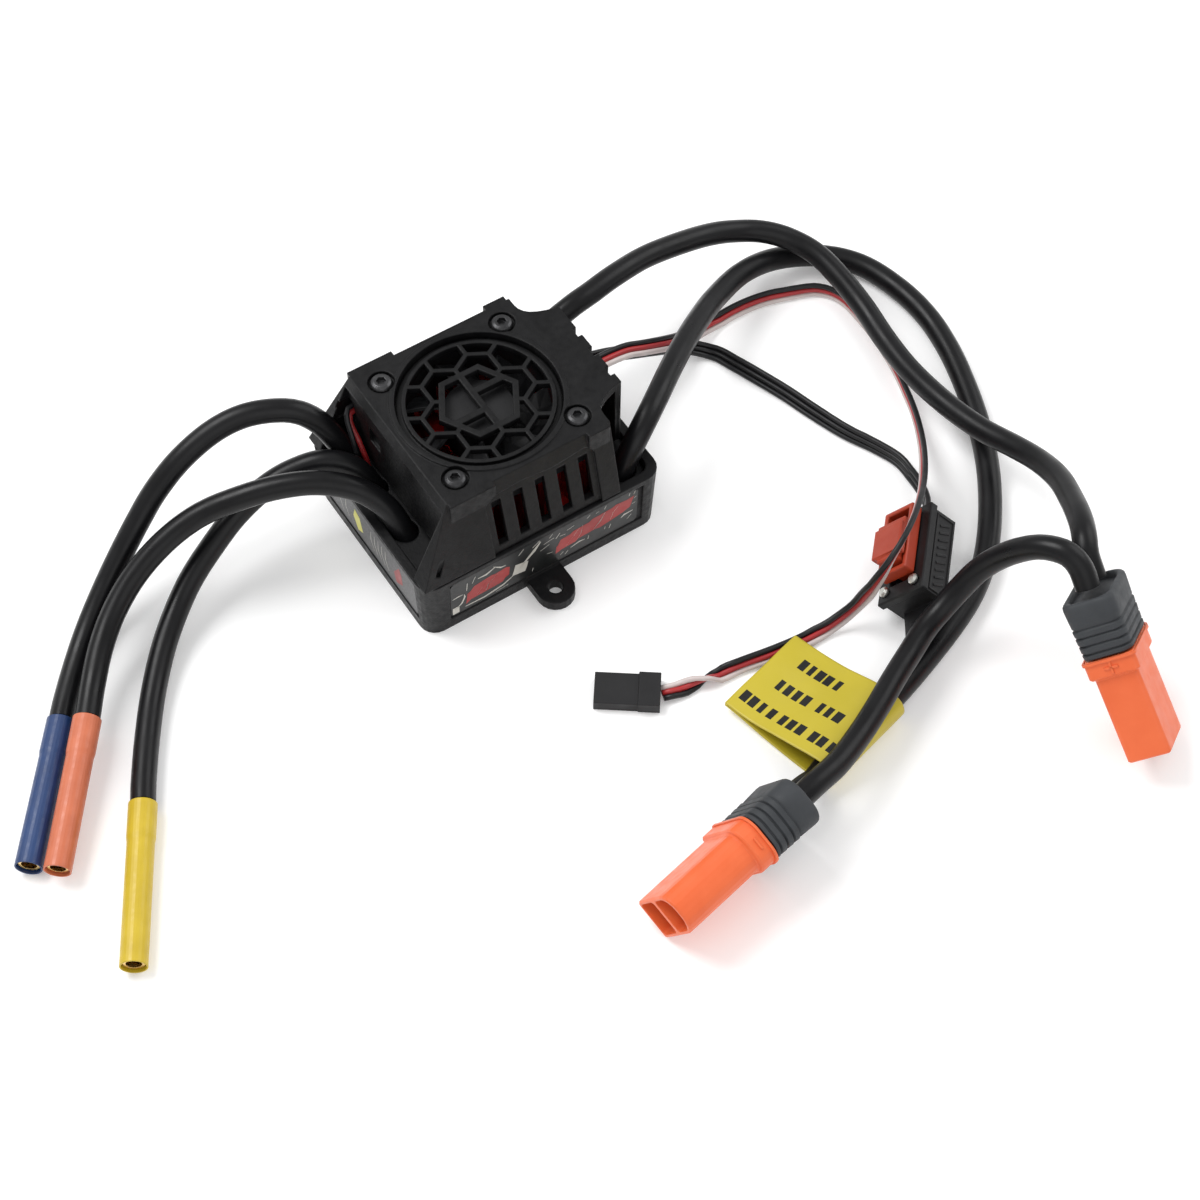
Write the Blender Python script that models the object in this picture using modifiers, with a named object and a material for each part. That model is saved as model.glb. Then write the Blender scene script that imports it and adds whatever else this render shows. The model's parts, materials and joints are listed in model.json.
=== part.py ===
"""Electronic speed controller for a large-scale radio-controlled car.

A moulded case with a cooling fan, three motor leads, two battery leads and a
jumper that ends in two battery connectors, a receiver lead and an on/off switch.

Frame: metres, +Z up.  The origin is the middle of the case's underside, +X runs
along the case to the battery end and +Y to its back long side.
"""

import math

import bmesh
import bpy
from mathutils import Matrix, Vector
from mathutils.geometry import interpolate_bezier

MM = 0.001
GAP = 0.3 * MM              # clearance between touching pieces

# Case
CASE_LENGTH = 59.1 * MM
CASE_WIDTH = 48.3 * MM
CASE_HEIGHT = 36.8 * MM
TRAY_HEIGHT = 17.2 * MM     # the parting line between tray and shroud
CASE_CORNER = 3.7 * MM
CASE_DRAFT = 0.6 * MM       # how much wider the tray is at its rim
WALL = 2.0 * MM
SHROUD_PLATE = 2.2 * MM
SHROUD_TOP_WIDTH = 39.0 * MM
SHROUD_LEFT = -20.4 * MM    # left edge of the shroud's top plate
SHROUD_RIGHT = 26.4 * MM

# Fan, a 35 mm frame on a 29.4 mm screw square
FAN_X = -0.75 * MM
FAN_SIDE = 34.6 * MM
FAN_DEPTH = 9.6 * MM
FAN_BOTTOM = 24.5 * MM
FAN_BORE_RADIUS = 16.2 * MM
SCREW_PITCH = 29.4 * MM
OPENING_RADIUS = 17.5 * MM
OPENING_LIP = 1.1 * MM
GUARD_RADIUS = 16.1 * MM
GUARD_PITCH = 8.2 * MM
GUARD_RING = 9.6 * MM       # the middle ring's corner radius

# Electronics
BOARD_BOTTOM = 5.2 * MM
BOARD_TOP = 6.8 * MM
SINK_BOTTOM = 8.2 * MM
SINK_TOP = FAN_BOTTOM - GAP
DECK_TOP = 15.6 * MM

# Mounting ears
EAR_X = -0.5 * MM
EAR_HOLE_Y = 28.4 * MM
EAR_RADIUS = 4.2 * MM
EAR_THICKNESS = 2.6 * MM
EAR_HOLE_RADIUS = 1.6 * MM

# Leads
POWER_LEAD_RADIUS = 2.6 * MM
RIBBON_RADIUS = 0.65 * MM   # the plain tube that stands for a three-wire ribbon
LEAD_STEP = 5.5 * MM        # spacing of the points along a lead

# Heat-shrink sleeves and bullet sockets on the motor leads
SLEEVE_LENGTH = 34.0 * MM
SLEEVE_WIDE_RADIUS = 2.95 * MM
SLEEVE_RADIUS = 2.8 * MM
SLEEVE_WIDE_LENGTH = 8.0 * MM
SOCKET_RADIUS = 2.2 * MM
SOCKET_BORE = 1.6 * MM
SOCKET_DEPTH = 14.0 * MM

# Battery connectors: a section with two nearly square corners and two well-rounded ones
PLUG_HALF_WIDTH = 8.1 * MM
PLUG_HALF_DEPTH = 4.6 * MM
PLUG_ROUND = 3.9 * MM
PLUG_CORNER = 0.9 * MM
PLUG_LENGTH = 18.9 * MM
COLLAR_LENGTH = 4.0 * MM
COLLAR_PROUD = 0.8 * MM
BOOT_LENGTH = 13.8 * MM
BOOT_PROUD = 1.3 * MM

# On/off switch
SWITCH_WIDTH = 13.0 * MM
SWITCH_HALF_LENGTH = 11.0 * MM
SWITCH_DEPTH = 8.0 * MM
SWITCH_PLATE = 2.0 * MM
BUTTON_TRAVEL = 3.0 * MM

# Routes of the leads, millimetres, from the controller outwards
MOTOR_ROUTES = {
    "blue": [
        (-23.6, 13.4, 10.3), (-24.3, 14.4, 17), (-26.6, 15.9, 23.8), (-29.2, 18.8, 29),
        (-33.6, 21.8, 32.2), (-41.2, 24.9, 33), (-48.8, 26.3, 31.5), (-57.1, 26.2, 28),
        (-64.3, 25.4, 23), (-70.5, 23.6, 18), (-77.4, 20.9, 12.5), (-84, 17.4, 8),
        (-89.9, 13.2, 5), (-95.3, 8, 3.6), (-100.3, 2.3, 3.2), (-103.2, -1.5, 3.2),
    ],
    "orange": [
        (-22.8, -9.3, 9.8), (-24.1, -6.6, 15.4), (-25.6, -3, 20.6), (-29.4, 1.4, 24.6),
        (-36, 5.8, 27), (-43.4, 9.4, 27), (-51.3, 12.4, 25.5), (-59.6, 15.2, 22.5),
        (-67.9, 15.7, 19), (-76.3, 14.2, 15), (-83.5, 10.8, 11.5), (-89.4, 6, 9),
        (-94.6, -0.1, 7.4), (-99, -6.2, 6.8),
    ],
    "yellow": [
        (-22.8, 4.9, 10), (-24.0, 6.6, 16.4), (-26.6, 9.6, 21.3), (-31.6, 13, 23),
        (-38.3, 15.4, 21.5), (-44.9, 15.9, 19.5), (-51.8, 15.3, 16.5), (-58.7, 13.5, 13),
        (-65.6, 10.9, 9.5), (-71.8, 7.1, 6.5), (-78.1, 1.6, 4.3), (-84.7, -6.3, 3.2),
        (-90.7, -15.1, 3), (-95.6, -23.1, 3.1), (-98.2, -27.8, 3.2),
    ],
}
SLEEVE_ENDS = {
    "blue": (-123.9, -28.4, 3.0),
    "orange": (-119.6, -33.2, 4.9),
    "yellow": (-116.4, -58.8, 3.0),
}
BACK_LEAD_ROUTE = [
    (20.6, 18.3, 9.5), (22.6, 18.6, 15.2), (27.2, 19.1, 21.2), (34.0, 19.6, 23.8),
    (40.2, 20.6, 24), (47.7, 22.3, 23.5), (57.1, 24.5, 21.5), (67.6, 25.8, 18.5),
    (76.8, 26.3, 15.5), (83.8, 25, 13.5), (89, 22.3, 12.5), (93.2, 18.3, 11.3),
    (96.2, 12.5, 10.2), (97.4, 5.1, 9), (97.6, -4.1, 7.5), (96.3, -14.6, 7),
    (95.3, -24, 7.5), (95, -33.4, 8.8), (95.5, -41.9, 10), (96.5, -49.8, 11.5),
    (97.7, -57.5, 14), (97.8, -65.5, 17.5), (95.9, -73.5, 21.8), (92, -81.5, 26.3),
    (88, -88.3, 30.1), (85, -92.8, 31.6), (83.2, -95.9, 30.7), (82.7, -99.7, 27.6),
]
FRONT_LEAD_ROUTE = [
    (20.6, -18.6, 9.5), (22.6, -18.3, 15.2), (26.4, -17.3, 21.2), (31, -15, 24),
    (36.4, -11.3, 24.3), (43.1, -6.1, 23), (50.3, -0.6, 21), (58.1, 5.1, 18),
    (67.4, 11.3, 14), (78.8, 16.8, 10), (89.8, 18.9, 6), (100.4, 16, 3.4),
    (107, 9.1, 2.9), (110.1, -0.6, 2.8), (110.9, -11, 2.7), (109.2, -21.8, 2.7),
    (105.9, -32.4, 2.7), (101.9, -42.3, 2.7), (96.8, -52.1, 2.7), (91, -60.6, 2.7),
    (85, -67.8, 2.7), (78.8, -73.7, 2.7), (71.6, -78.5, 2.7), (63.4, -82.3, 2.7),
    (54.2, -85.8, 2.8), (45.1, -89, 3.3), (36.5, -91.4, 3.6), (28.7, -93.3, 3.9),
    (21.6, -95.6, 4.2), (17, -97.6, 5.3), (13.2, -98.9, 7.9), (8.6, -99.8, 8.5),
]
JUMPER_ROUTE = [
    (78.3, -102.3, 30.9), (78.5, -98.8, 33.8), (77.5, -95.4, 35.2), (75.3, -90.9, 33.6),
    (73, -87.2, 29.8), (70.6, -84.3, 25.3), (67.8, -82.4, 20.7), (64.4, -81.7, 16),
    (60, -82, 12.5), (55, -83.3, 10.9), (48.7, -86.3, 10.6), (42.2, -89.5, 10.7),
    (35.4, -93.1, 10.8), (28, -96.7, 11.1), (20.3, -100, 12.4), (13.8, -101.8, 13.7),
    (9.1, -102.9, 13.8),
]
RECEIVER_ROUTE = [
    (22.6, 3.2, 11.6), (24.6, 4, 16.8), (28.5, 5.2, 20), (33.3, 6.2, 19.5),
    (40.7, 7.5, 17), (46, 7.7, 14.5), (53, 8.6, 10.5), (58.9, 10.4, 6.5),
    (66.3, 12.9, 3), (74, 14, 1.2), (82.1, 13.5, 0.7), (89.2, 11.4, 0.7),
    (95.1, 8.7, 0.7), (98, 3.9, 0.7), (98.3, -4.1, 0.7), (97.4, -13, 0.7),
    (95.2, -22.6, 1.5), (91.5, -32.5, 3), (85.5, -42.7, 6.5), (77.4, -52.8, 12),
    (68.5, -61.4, 18.4), (60.9, -67.2, 21.6), (54.9, -69.8, 19), (51.4, -69.8, 12.6),
    (48.6, -68.6, 6), (43.2, -67.9, 2.2), (36.7, -67.4, 0.8), (29.5, -66.8, 0.7),
    (22.6, -65.6, 0.7), (15.8, -64.5, 0.8), (9.8, -63.6, 1.1), (4.1, -62.1, 1.4),
]
SWITCH_LEAD_ROUTE = [
    (22.6, 7.6, 11.6), (24.8, 8, 16.8), (28.6, 8.6, 19.2), (36, 8.9, 17),
    (43.8, 9.6, 12.6), (49.1, 9.8, 9.8), (55.4, 10.3, 5.9), (60.7, 9.7, 2.6),
    (64.7, 6.8, 1), (66.9, 1.4, 0.7), (68.9, -4.2, 0.7), (71.4, -11.6, 0.7),
    (73.7, -19.8, 0.7), (76.2, -27.8, 0.7), (79.3, -34.8, 0.7), (81.3, -41.4, 1.2),
    (80.3, -48.6, 3), (77.6, -54.9, 5.6), (73.7, -59.6, 8.2),
]
FAN_WIRE_ROUTES = {
    "red": [
        (-18.7, 18.3, 27.2), (-21.4, 18.2, 27.2), (-22.6, 16.6, 26), (-22.5, 14, 23.2),
        (-22.3, 11.6, 19), (-22.2, 10.2, 14.5), (-22.3, 9.2, 11.2),
    ],
    "black": [
        (-18.7, 18.3, 29), (-21.9, 18.2, 29), (-23.4, 16.4, 28), (-23.9, 13.9, 25.4),
        (-24.1, 11.8, 21.2), (-23.9, 10.9, 17), (-24.1, 9.6, 13), (-24.2, 9.2, 11.2),
    ],
}


# --- scene and materials ---------------------------------------------------

def clear_scene():
    for obj in list(bpy.data.objects):
        bpy.data.objects.remove(obj, do_unlink=True)


def new_collection(name):
    collection = bpy.data.collections.new(name)
    bpy.context.scene.collection.children.link(collection)
    return collection


clear_scene()
PARTS = new_collection("electronic_speed_controller")
CUTTERS = new_collection("cutters")


def make_material(name, color, roughness, metallic=0.0):
    material = bpy.data.materials.new(name)
    material.use_nodes = True
    shader = material.node_tree.nodes["Principled BSDF"]
    shader.inputs["Base Color"].default_value = (*color, 1.0)
    shader.inputs["Roughness"].default_value = roughness
    shader.inputs["Metallic"].default_value = metallic
    return material


CASE_PLASTIC = make_material("case_plastic", (0.016, 0.016, 0.017), 0.42)
SWITCH_PLASTIC = make_material("switch_plastic", (0.014, 0.014, 0.015), 0.5)
LEAD_RUBBER = make_material("lead_rubber", (0.012, 0.012, 0.013), 0.5)
BOOT_RUBBER = make_material("boot_rubber", (0.085, 0.09, 0.095), 0.7)
CONNECTOR_PLASTIC = make_material("connector_plastic", (0.9, 0.22, 0.07), 0.4)
BUTTON_PLASTIC = make_material("button_plastic", (0.72, 0.09, 0.02), 0.45)
RED_ANODISED = make_material("red_anodised_aluminium", (0.32, 0.01, 0.012), 0.35, 1.0)
BOARD_GREEN = make_material("circuit_board", (0.01, 0.05, 0.025), 0.5)
STEEL = make_material("black_oxide_steel", (0.05, 0.05, 0.05), 0.35, 1.0)
BRIGHT_STEEL = make_material("zinc_plated_steel", (0.55, 0.55, 0.52), 0.3, 1.0)
GOLD = make_material("gold_plated_brass", (0.85, 0.6, 0.22), 0.25, 1.0)
SOLDER = make_material("tinned_copper", (0.6, 0.6, 0.58), 0.35, 1.0)
LABEL_FILM = make_material("label_film", (0.02, 0.02, 0.02), 0.3)
TAG_FILM = make_material("yellow_tag_film", (0.85, 0.72, 0.05), 0.45)
SLEEVE_MATERIALS = {
    "blue": make_material("blue_sleeve", (0.015, 0.075, 0.25), 0.45),
    "orange": make_material("orange_sleeve", (0.8, 0.22, 0.09), 0.45),
    "yellow": make_material("yellow_sleeve", (0.75, 0.55, 0.03), 0.45),
}
WIRE_MATERIALS = {
    "red": make_material("red_wire", (0.55, 0.03, 0.03), 0.45),
    "black": make_material("black_wire", (0.015, 0.015, 0.016), 0.45),
}


# --- building blocks -------------------------------------------------------

def add_object(name, bm, material, collection=None, matrix=None):
    """Turn a bmesh into a named object, shaded smooth with its edges kept sharp."""
    bm.normal_update()
    bmesh.ops.recalc_face_normals(bm, faces=bm.faces)
    mesh = bpy.data.meshes.new(name)
    bm.to_mesh(mesh)
    bm.free()
    mesh.shade_smooth()
    mesh.set_sharp_from_angle(angle=math.radians(35))
    obj = bpy.data.objects.new(name, mesh)
    (collection or PARTS).objects.link(obj)
    if material:
        mesh.materials.append(material)
    if matrix is not None:
        obj.matrix_world = matrix
    return obj


def add_cutter(name, bm, matrix=None):
    cutter = add_object(name, bm, None, CUTTERS, matrix)
    cutter.hide_render = True
    cutter.display_type = "WIRE"
    return cutter


def combine(obj, other, operation="DIFFERENCE"):
    modifier = obj.modifiers.new(other.name, "BOOLEAN")
    modifier.operation = operation
    modifier.object = other
    modifier.solver = "EXACT"


def box(low, high):
    bm = bmesh.new()
    bmesh.ops.create_cube(bm, size=1.0)
    size = Vector(high) - Vector(low)
    middle = (Vector(high) + Vector(low)) / 2
    bmesh.ops.scale(bm, vec=size, verts=bm.verts)
    bmesh.ops.translate(bm, vec=middle, verts=bm.verts)
    return bm


def boxes(corner_pairs):
    """Several separate boxes in one bmesh."""
    whole = bmesh.new()
    for low, high in corner_pairs:
        piece = box(low, high)
        append(whole, piece)
    return whole


def append(target, source):
    """Add the geometry of source, which is then freed, to target."""
    mesh = bpy.data.meshes.new("scratch")
    source.to_mesh(mesh)
    source.free()
    target.from_mesh(mesh)
    bpy.data.meshes.remove(mesh)


def cylinder(radius, bottom, top, center=(0.0, 0.0), sides=32, top_radius=None):
    bm = bmesh.new()
    bmesh.ops.create_cone(
        bm, cap_ends=True, segments=sides, radius1=radius,
        radius2=radius if top_radius is None else top_radius, depth=top - bottom)
    bmesh.ops.translate(bm, vec=(center[0], center[1], (bottom + top) / 2), verts=bm.verts)
    return bm


def rounded_block(half_x, half_y, bottom, top, radius, flare=0.0, segments=5):
    """A block with rounded upright edges, wider by flare on each side at its top."""
    bm = box((-half_x, -half_y, bottom), (half_x, half_y, top))
    upright = [e for e in bm.edges if abs(e.verts[0].co.z - e.verts[1].co.z) > 1e-6]
    bmesh.ops.bevel(bm, geom=upright, offset=radius, segments=segments, affect="EDGES",
                    profile=0.5)
    for vert in bm.verts:
        if vert.co.z > (bottom + top) / 2:
            vert.co.x += math.copysign(flare, vert.co.x)
            vert.co.y += math.copysign(flare, vert.co.y)
    return bm


def prism(outline, bottom, top):
    """A flat outline in X and Y raised from bottom to top."""
    bm = bmesh.new()
    face = bm.faces.new([bm.verts.new((x, y, bottom)) for x, y in outline])
    raised = bmesh.ops.extrude_face_region(bm, geom=[face])
    moved = [item for item in raised["geom"] if isinstance(item, bmesh.types.BMVert)]
    bmesh.ops.translate(bm, vec=(0, 0, top - bottom), verts=moved)
    return bm


def chamfer_edges(obj, width, segments=2, angle=40):
    bevel = obj.modifiers.new("edge_round", "BEVEL")
    bevel.width = width
    bevel.segments = segments
    bevel.limit_method = "ANGLE"
    bevel.angle_limit = math.radians(angle)


def rise_to(direction, origin=(0, 0, 0)):
    """A placement whose Z axis lies along direction."""
    turn = Vector(direction).to_track_quat("Z", "Y").to_matrix().to_4x4()
    return Matrix.Translation(Vector(origin)) @ turn


# --- leads -----------------------------------------------------------------

def smooth_route(points, step):
    """Evenly spaced points on one smooth curve through a route's own points."""
    route = [Vector(p) * MM for p in points]
    count = len(route)
    slope = [(route[min(i + 1, count - 1)] - route[max(i - 1, 0)]) / 2 for i in range(count)]
    slope[0] = route[1] - route[0]
    slope[-1] = route[-1] - route[-2]
    dense = [route[0]]
    for i in range(count - 1):
        handles = (route[i] + slope[i] / 3, route[i + 1] - slope[i + 1] / 3)
        dense += interpolate_bezier(route[i], handles[0], handles[1], route[i + 1], 17)[1:]
    length = sum((b - a).length for a, b in zip(dense, dense[1:]))
    spacing = length / max(1, round(length / step))
    evenly = [dense[0]]
    covered = 0.0
    for a, b in zip(dense, dense[1:]):
        covered += (b - a).length
        if covered >= spacing * len(evenly):
            evenly.append(b)
    evenly[-1] = dense[-1]
    return evenly


def add_tube(name, points, radius, material, step=LEAD_STEP, resolution=2):
    curve = bpy.data.curves.new(name, "CURVE")
    curve.dimensions = "3D"
    curve.bevel_depth = radius
    curve.bevel_resolution = resolution
    curve.use_fill_caps = True
    path = smooth_route(points, step)
    spline = curve.splines.new("POLY")
    spline.points.add(len(path) - 1)
    for point, place in zip(spline.points, path):
        point.co = (*place, 1.0)
    curve.materials.append(material)
    obj = bpy.data.objects.new(name, curve)
    PARTS.objects.link(obj)
    return obj


def end_direction(points):
    """The way a lead points where it ends."""
    return (Vector(points[-1]) - Vector(points[-2])).normalized()


def start_direction(points):
    return (Vector(points[1]) - Vector(points[0])).normalized()


def add_solder_cup(name, route):
    """A tinned cup on the board that a power lead is soldered into."""
    direction = start_direction(route)
    length = 1.2 * MM
    base = Vector(route[0]) * MM - direction * (length + GAP)
    cup = add_object(name, cylinder(2.3 * MM, 0, length, sides=20), SOLDER,
                     matrix=rise_to(direction, base))
    low_edge = base.z - 2.3 * MM * math.sqrt(1 - direction.z ** 2)
    foot = box((base.x - 2.6 * MM, base.y - 2.4 * MM, BOARD_TOP + GAP),
               (base.x + 2.6 * MM, base.y + 2.4 * MM, low_edge + 0.4 * MM))
    combine(cup, add_cutter(name + "_foot", foot), "UNION")
    return cup


# --- case ------------------------------------------------------------------

def ear_outline(side):
    """The outline of one mounting ear, seen from above."""
    root_y = side * (CASE_WIDTH / 2 - 1.2 * MM)
    tip_y = side * EAR_HOLE_Y
    outline = [(EAR_X - EAR_RADIUS, root_y)]
    steps = 10
    for i in range(steps + 1):
        angle = math.pi * (1 + i / steps)
        outline.append((EAR_X + EAR_RADIUS * math.cos(angle),
                        tip_y - side * EAR_RADIUS * math.sin(angle)))
    outline.append((EAR_X + EAR_RADIUS, root_y))
    return outline


def add_lower_case():
    tray = add_object(
        "lower_case",
        rounded_block(CASE_LENGTH / 2 - CASE_DRAFT, CASE_WIDTH / 2 - CASE_DRAFT, 0.0,
                      TRAY_HEIGHT, CASE_CORNER, CASE_DRAFT), CASE_PLASTIC)
    for side, word in ((-1, "front"), (1, "back")):
        ear = add_cutter("ear_" + word, prism(ear_outline(side), 0.0, EAR_THICKNESS))
        combine(tray, ear, "UNION")
    inside = rounded_block(CASE_LENGTH / 2 - WALL - CASE_DRAFT, CASE_WIDTH / 2 - WALL - CASE_DRAFT,
                           WALL, TRAY_HEIGHT + 5 * MM, CASE_CORNER - WALL + 0.6 * MM, CASE_DRAFT)
    combine(tray, add_cutter("tray_inside", inside))
    for side, word in ((-1, "front"), (1, "back")):
        hole = cylinder(EAR_HOLE_RADIUS, -MM, EAR_THICKNESS + MM, (EAR_X, side * EAR_HOLE_Y), 24)
        combine(tray, add_cutter("ear_hole_" + word, hole))
    posts = bmesh.new()
    for x in (-23 * MM, 23 * MM):
        for y in (-17 * MM, 17 * MM):
            append(posts, cylinder(2 * MM, WALL - 0.5 * MM, BOARD_BOTTOM - GAP, (x, y), 16))
    combine(tray, add_cutter("board_posts", posts), "UNION")
    combine(tray, add_cutter("label_recesses", boxes([LABEL_BOXES["front"], LABEL_BOXES["end"]])))
    return tray


LABEL_BOXES = {
    "front": ((-23.5 * MM, -26 * MM, 3.2 * MM), (24.5 * MM, -CASE_WIDTH / 2 + 0.8 * MM, 15.6 * MM)),
    "end": ((-31 * MM, -20 * MM, 3.2 * MM), (-CASE_LENGTH / 2 + 0.8 * MM, 20 * MM, 15.6 * MM)),
}


def add_labels():
    """Two thin films that lie in the tray's shallow label recesses."""
    front = box((-23.1 * MM, -CASE_WIDTH / 2 + 0.25 * MM, 3.6 * MM),
                (24.1 * MM, -CASE_WIDTH / 2 + 0.5 * MM, 15.2 * MM))
    end = box((-CASE_LENGTH / 2 + 0.25 * MM, -19.6 * MM, 3.6 * MM),
              (-CASE_LENGTH / 2 + 0.5 * MM, 19.6 * MM, 15.2 * MM))
    add_object("front_label", front, LABEL_FILM)
    add_object("end_label", end, LABEL_FILM)


def tapered_hull(left, left_top, right, half, half_top, bottom, top):
    """A block whose sides and left end lean inwards."""
    bm = box((left, -half, bottom), (right, half, top))
    for vert in bm.verts:
        if vert.co.z > (bottom + top) / 2:
            vert.co.y = math.copysign(half_top, vert.co.y)
            if vert.co.x < 0:
                vert.co.x = left_top
    return bm


def add_shroud():
    bottom = TRAY_HEIGHT + GAP
    shroud = add_object(
        "fan_shroud",
        tapered_hull(-29.3 * MM, SHROUD_LEFT, SHROUD_RIGHT, CASE_WIDTH / 2 - 0.1 * MM,
                     SHROUD_TOP_WIDTH / 2, bottom, CASE_HEIGHT), CASE_PLASTIC)
    pads = bmesh.new()
    for x, reach in ((FAN_X - SCREW_PITCH / 2, 4.7 * MM), (FAN_X + SCREW_PITCH / 2, 2.9 * MM)):
        for side in (-1, 1):
            low = (x - 4.7 * MM if reach > 4 * MM else x - 1 * MM, side * 12 * MM, 28 * MM)
            high = (x + reach + 1.2 * MM, side * 20.7 * MM, CASE_HEIGHT)
            append(pads, box([min(a, b) for a, b in zip(low, high)],
                             [max(a, b) for a, b in zip(low, high)]))
    combine(shroud, add_cutter("corner_pads", pads), "UNION")
    inside = tapered_hull(-19.4 * MM, -19.4 * MM, 24.8 * MM, CASE_WIDTH / 2 - 1.9 * MM,
                          SHROUD_TOP_WIDTH / 2 - 1.5 * MM, bottom - 2 * MM,
                          CASE_HEIGHT - SHROUD_PLATE)
    combine(shroud, add_cutter("shroud_inside", inside))
    deck = box((-40 * MM, -19.4 * MM, 0), (-21.1 * MM, 19.4 * MM, CASE_HEIGHT - 2.4 * MM))
    combine(shroud, add_cutter("motor_deck_opening", deck))
    for side, word in ((-1, "front"), (1, "back")):
        outline = [(18.7, 30), (18.7, 17.3), (18.9, 16.1), (19.5, 15), (20.4, 14.1), (21.8, 13.3),
                   (23.6, 12.6), (25.4, 12.1), (40, 11.9), (40, 30)]
        bay = prism([(x * MM, side * y * MM) for x, y in outline], 0, 40 * MM)
        combine(shroud, add_cutter("lead_bay_" + word, bay))
    lip = cylinder(OPENING_RADIUS + OPENING_LIP, CASE_HEIGHT - MM, CASE_HEIGHT + 0.35 * MM,
                   (FAN_X, 0), 64)
    combine(shroud, add_cutter("opening_lip", lip), "UNION")
    opening = cylinder(OPENING_RADIUS, 20 * MM, 40 * MM, (FAN_X, 0), 64)
    combine(shroud, add_cutter("fan_opening", opening))
    holes = bmesh.new()
    recesses = bmesh.new()
    for x, y in screw_places():
        append(holes, cylinder(1.4 * MM, 20 * MM, 40 * MM, (x, y), 16))
        append(recesses, cylinder(2.9 * MM, CASE_HEIGHT - 1.2 * MM, 40 * MM, (x, y), 24))
    combine(shroud, add_cutter("screw_holes", holes))
    combine(shroud, add_cutter("screw_recesses", recesses))
    for side, word in ((-1, "front"), (1, "back")):
        combine(shroud, add_side_panel(side, word))
        combine(shroud, add_side_slots(side, word))
    notches = [((25.4 * MM, y * MM, 22.5 * MM), (30 * MM, (y + 2.4) * MM, 40 * MM))
               for y in (-9.6, -3.4, 2.8)]
    notches.append(((22 * MM, 1.2 * MM, 10 * MM), (30 * MM, 9.6 * MM, 21.2 * MM)))
    combine(shroud, add_cutter("end_notches", boxes(notches)))
    pocket = box((-23 * MM, 6.8 * MM, 25.2 * MM), (-20.3 * MM, 11 * MM, 29.8 * MM))
    combine(shroud, add_cutter("wall_pocket", pocket))
    slit = box((-4 * MM, -4 * MM, -0.6 * MM), (4 * MM, 1.6 * MM, 0.6 * MM))
    lean = Matrix.Rotation(math.radians(-65), 4, "Y")
    place = Matrix.Translation((-24.0 * MM, -CASE_WIDTH / 2, 23.6 * MM))
    combine(shroud, add_cutter("leg_slit", slit, place @ lean))
    wire_hole = box((-24 * MM, 17 * MM, 25.6 * MM), (-18 * MM, 19.9 * MM, 30.6 * MM))
    combine(shroud, add_cutter("fan_wire_hole", wire_hole))
    return shroud


def add_side_panel(side, word):
    """The shallow panel in each long side, under a wavy top edge."""
    outline = [(-12.2, 17), (-12.2, 31.2), (-10.4, 33), (-3, 33.4), (4, 32.6), (10, 33.2)]
    steps = 6
    for i in range(steps + 1):
        angle = math.pi / 2 * (1 - i / steps)
        outline.append((11.2 + 3 * math.cos(angle), 30.4 + 3 * math.sin(angle)))
    outline.append((14.2, 17))
    flat = prism([(x * MM, z * MM) for x, z in outline], 0, 6 * MM)
    lean = math.atan2(CASE_WIDTH / 2 - SHROUD_TOP_WIDTH / 2, CASE_HEIGHT - TRAY_HEIGHT)
    for vert in flat.verts:
        x, z, depth = vert.co
        surface = CASE_WIDTH / 2 - (z - TRAY_HEIGHT) * math.tan(lean)
        vert.co = (x, side * (surface - 0.7 * MM + depth), z)
    return add_cutter("side_panel_" + word, flat)


def add_side_slots(side, word):
    pairs = []
    for i in range(5):
        x = (-10.6 + 5.25 * i) * MM
        y = sorted((side * 15 * MM, side * 30 * MM))
        pairs.append(((x, y[0], 19.2 * MM), (x + 2.3 * MM, y[1], 31 * MM)))
    return add_cutter("side_slots_" + word, boxes(pairs))


def screw_places():
    half = SCREW_PITCH / 2
    return [(FAN_X + sx * half, sy * half) for sx in (-1, 1) for sy in (-1, 1)]


def add_shroud_screws():
    names = ("front_left", "back_left", "front_right", "back_right")
    head_bottom = CASE_HEIGHT - 1.2 * MM + GAP
    for (x, y), name in zip(screw_places(), names):
        profile = [(0, CASE_HEIGHT + 0.5 * MM), (1.6 * MM, CASE_HEIGHT + 0.5 * MM),
                   (2.1 * MM, CASE_HEIGHT + 0.2 * MM), (2.4 * MM, CASE_HEIGHT - 0.3 * MM),
                   (2.4 * MM, head_bottom),
                   (1.1 * MM, head_bottom), (1.1 * MM, 19 * MM), (0, 19 * MM)]
        screw = add_turned("shroud_screw_" + name, profile, STEEL, 20)
        screw.location = (x, y, 0)
        socket = cylinder(1.1 * MM, CASE_HEIGHT - 0.6 * MM, CASE_HEIGHT + 2 * MM, (x, y), 6)
        combine(screw, add_cutter("socket_" + name, socket))


def add_turned(name, profile, material, steps):
    """A turned solid from a profile that runs down its outer side."""
    bm = bmesh.new()
    verts = [bm.verts.new((r, 0, z)) for r, z in profile]
    for a, b in zip(verts, verts[1:]):
        bm.edges.new((a, b))
    mesh = bpy.data.meshes.new(name)
    bm.to_mesh(mesh)
    bm.free()
    obj = bpy.data.objects.new(name, mesh)
    PARTS.objects.link(obj)
    if material:
        mesh.materials.append(material)
    turn = obj.modifiers.new("turn", "SCREW")
    turn.steps = steps
    turn.render_steps = steps
    turn.use_merge_vertices = True
    turn.merge_threshold = 0.00001
    return obj


# --- fan -------------------------------------------------------------------

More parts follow.
